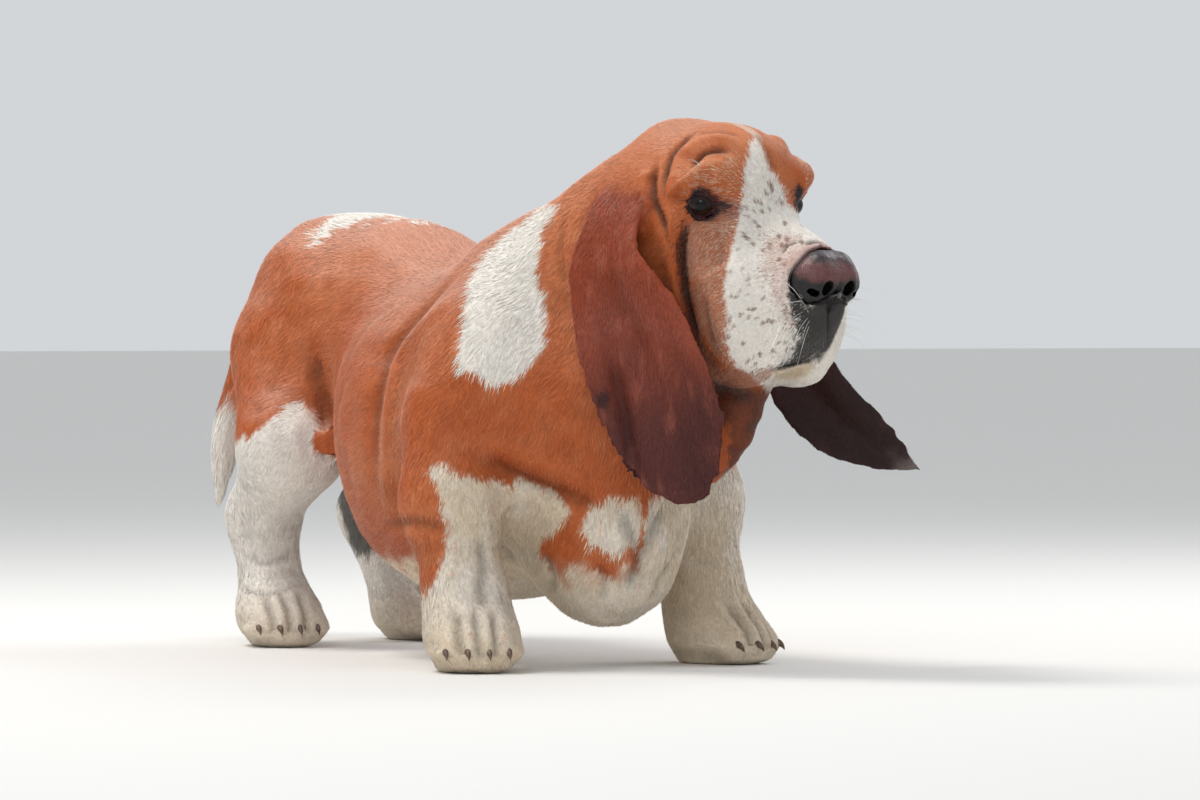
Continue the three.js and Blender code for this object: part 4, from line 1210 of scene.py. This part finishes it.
up = np.array((0, 0, 1))
for foot, degrees in feet.items():
    middle = boxMiddle(foot)
    ahead, across = footAxes(degrees)
    for toe in claws["toes"]:
        start = middle + across * toe * mm + ahead * claws["from"] * mm
        start[2] = claws["height"] * mm
        hit = tree.ray_cast(Vector(start), Vector(-ahead))[0]
        start = np.array(hit) - ahead * claws["sunk"] * mm
        first, n = len(clawPoints), claws["sides"]
        for i in range(claws["rings"]):
            t = i / (claws["rings"] - 1)
            bend = t * claws["curl"]
            out = (ahead * math.sin(bend) - up * (1 - math.cos(bend))) / claws["curl"]
            centre = start + out * claws["length"] * mm
            r = claws["radius"] * mm * (1 - t ** 1.7 * 0.9)
            upward = np.cross(across, ahead * math.cos(bend) - up * math.sin(bend))
            for k in range(n):
                w = 2 * math.pi * k / n
                clawPoints.append(centre + across * math.cos(w) * r * 0.8 + upward * math.sin(w) * r)
        clawFaces += ringFaces(first, claws["rings"], n)
        lastRing = first + (claws["rings"] - 1) * n
        for ends, order in ((first, -1), (lastRing, 1)):
            clawPoints.append(np.mean(clawPoints[ends:ends + n], axis=0))
            hub = len(clawPoints) - 1
            for k in range(n):
                pair = (ends + k, ends + (k + 1) % n)[::order]
                clawFaces.append((pair[0], pair[1], hub))
clawMesh = bpy.data.meshes.new("claws")
clawMesh.from_pydata([tuple(p) for p in clawPoints], [], clawFaces)
smoothShaded(clawMesh)
clawLook = Look("claw_horn", Specular_IOR_Level=0.4)
horn = clawLook.grain(260.0, 5.0)
clawLook.feed(Base_Color=clawLook.ramp([(0.3, (0.05, 0.03, 0.022)), (0.7, (0.2, 0.13, 0.09))], horn),
              Roughness=horn * 0.3 + 0.3)
clawLook.bump(horn, 0.0004, 0.5)
pieceOf("claws", clawMesh, clawLook.material)

# Whiskers on the muzzle and brows, each a tapering curved hair.
whiskers = {"radius": 0.22, "steps": 8, "sides": 3, "muzzle": 26, "brow": 4, "sunk": 1.0}
hairs, hairFaces = [], []
for side in (-1, 1):
    spots = [((noise.uniform(70, 112), side * noise.uniform(14, 38), noise.uniform(-84, -40)),
              (noise.uniform(-0.2, 0.7), side, noise.uniform(-0.7, 0.1)), noise.uniform(18, 38))
             for n in range(whiskers["muzzle"])]
    spots += [((noise.uniform(-8, 0), side * noise.uniform(50, 58), noise.uniform(24, 34)),
               (0.5, side * 0.9, noise.uniform(0.4, 0.9)), noise.uniform(14, 22))
              for n in range(whiskers["brow"])]
    for place, growth, size in spots:
        hit, normal = (np.array(v) for v in tree.find_nearest(Vector(fromHead(place)))[:2])
        outward = unit(unit(np.array(growth) @ headAxes) + normal * 0.9)
        sag = -up * noise.uniform(0.1, 0.5)
        first, n = len(hairs), whiskers["sides"]
        for i in range(whiskers["steps"]):
            t = i / (whiskers["steps"] - 1)
            centre = hit - normal * whiskers["sunk"] * mm + (outward * t + sag * t * t) * size * mm
            u1 = unit(np.cross(outward, (0.3, 0.2, 0.9)))
            u2 = unit(np.cross(outward, u1))
            r = whiskers["radius"] * mm * (1 - 0.85 * t)
            for k in range(n):
                w = 2 * math.pi * k / n
                hairs.append(centre + (u1 * math.cos(w) + u2 * math.sin(w)) * r)
        hairFaces += ringFaces(first, whiskers["steps"], n)
        end = first + (whiskers["steps"] - 1) * n
        hairFaces += [(first + 2, first + 1, first), (end, end + 1, end + 2)]
whiskerMesh = bpy.data.meshes.new("whiskers")
whiskerMesh.from_pydata([tuple(p) for p in hairs], [], hairFaces)
whiskerLook = Look("whisker_hair", Specular_IOR_Level=0.4)
paleHair = whiskerLook.ramp([(0.3, (0.6, 0.58, 0.54)), (0.7, (0.85, 0.83, 0.8))], whiskerLook.grain(80.0))
whiskerLook.feed(Base_Color=paleHair, Roughness=whiskerLook.grain(200.0) * 0.2 + 0.3)
pieceOf("whiskers", whiskerMesh, whiskerLook.material)
print("claws and whiskers made")

# Studio
studio = {"floor": 40.0, "paper": (0.78, 0.77, 0.75), "sky": (0.9, 0.93, 0.96), "skyStrength": 0.72}
bpy.context.scene.view_settings.view_transform = "Standard"
bm = bmesh.new()
bmesh.ops.create_grid(bm, x_segments=2, y_segments=2, size=studio["floor"])
floorMesh = bpy.data.meshes.new("floor")
bm.to_mesh(floorMesh)
bm.free()
floor = bpy.data.objects.new("floor", floorMesh)
bpy.context.scene.collection.objects.link(floor)
floorLook = Look("studio_paper", Roughness=0.85, Specular_IOR_Level=0.2)
floorLook.feed(Base_Color=studio["paper"])
floorMesh.materials.append(floorLook.material)
world = bpy.data.worlds.new("studio")
bpy.context.scene.world = world
world.use_nodes = True
world.node_tree.nodes["Background"].inputs[0].default_value = (*studio["sky"], 1)
world.node_tree.nodes["Background"].inputs[1].default_value = studio["skyStrength"]

lamps = {
    "key": [(-0.6, -1.0, 2.4), 1.1, 40.0, (1.0, 0.97, 0.92)],
    "front": [(2.2, -1.6, 1.5), 1.2, 12.0, (0.96, 0.98, 1.0)],
    "back": [(-0.4, 1.9, 1.8), 1.4, 18.0, (1.0, 1.0, 1.0)],
}
for name, (place, size, power, tone) in lamps.items():
    light = bpy.data.lights.new(name, "AREA")
    light.shape, light.size, light.energy, light.color = "DISK", size, power, tone
    lamp = bpy.data.objects.new(name, light)
    lamp.location = place
    lamp.rotation_euler = (Vector((0.05, 0, 0.2)) - Vector(place)).to_track_quat("-Z", "Y").to_euler()
    bpy.context.scene.collection.objects.link(lamp)

lens = bpy.data.cameras.new("camera")
lens.lens, lens.sensor_width = camera["lens"], camera["sensor"]
lens.clip_end = 200
view = bpy.data.objects.new("camera", lens)
bpy.context.scene.collection.objects.link(view)
pitch = math.atan((photo["half"] - photo["horizon"]) / focal)
view.location = cameraPlace
view.rotation_euler = (math.pi / 2 - pitch, 0, azimuth)
bpy.context.scene.camera = view
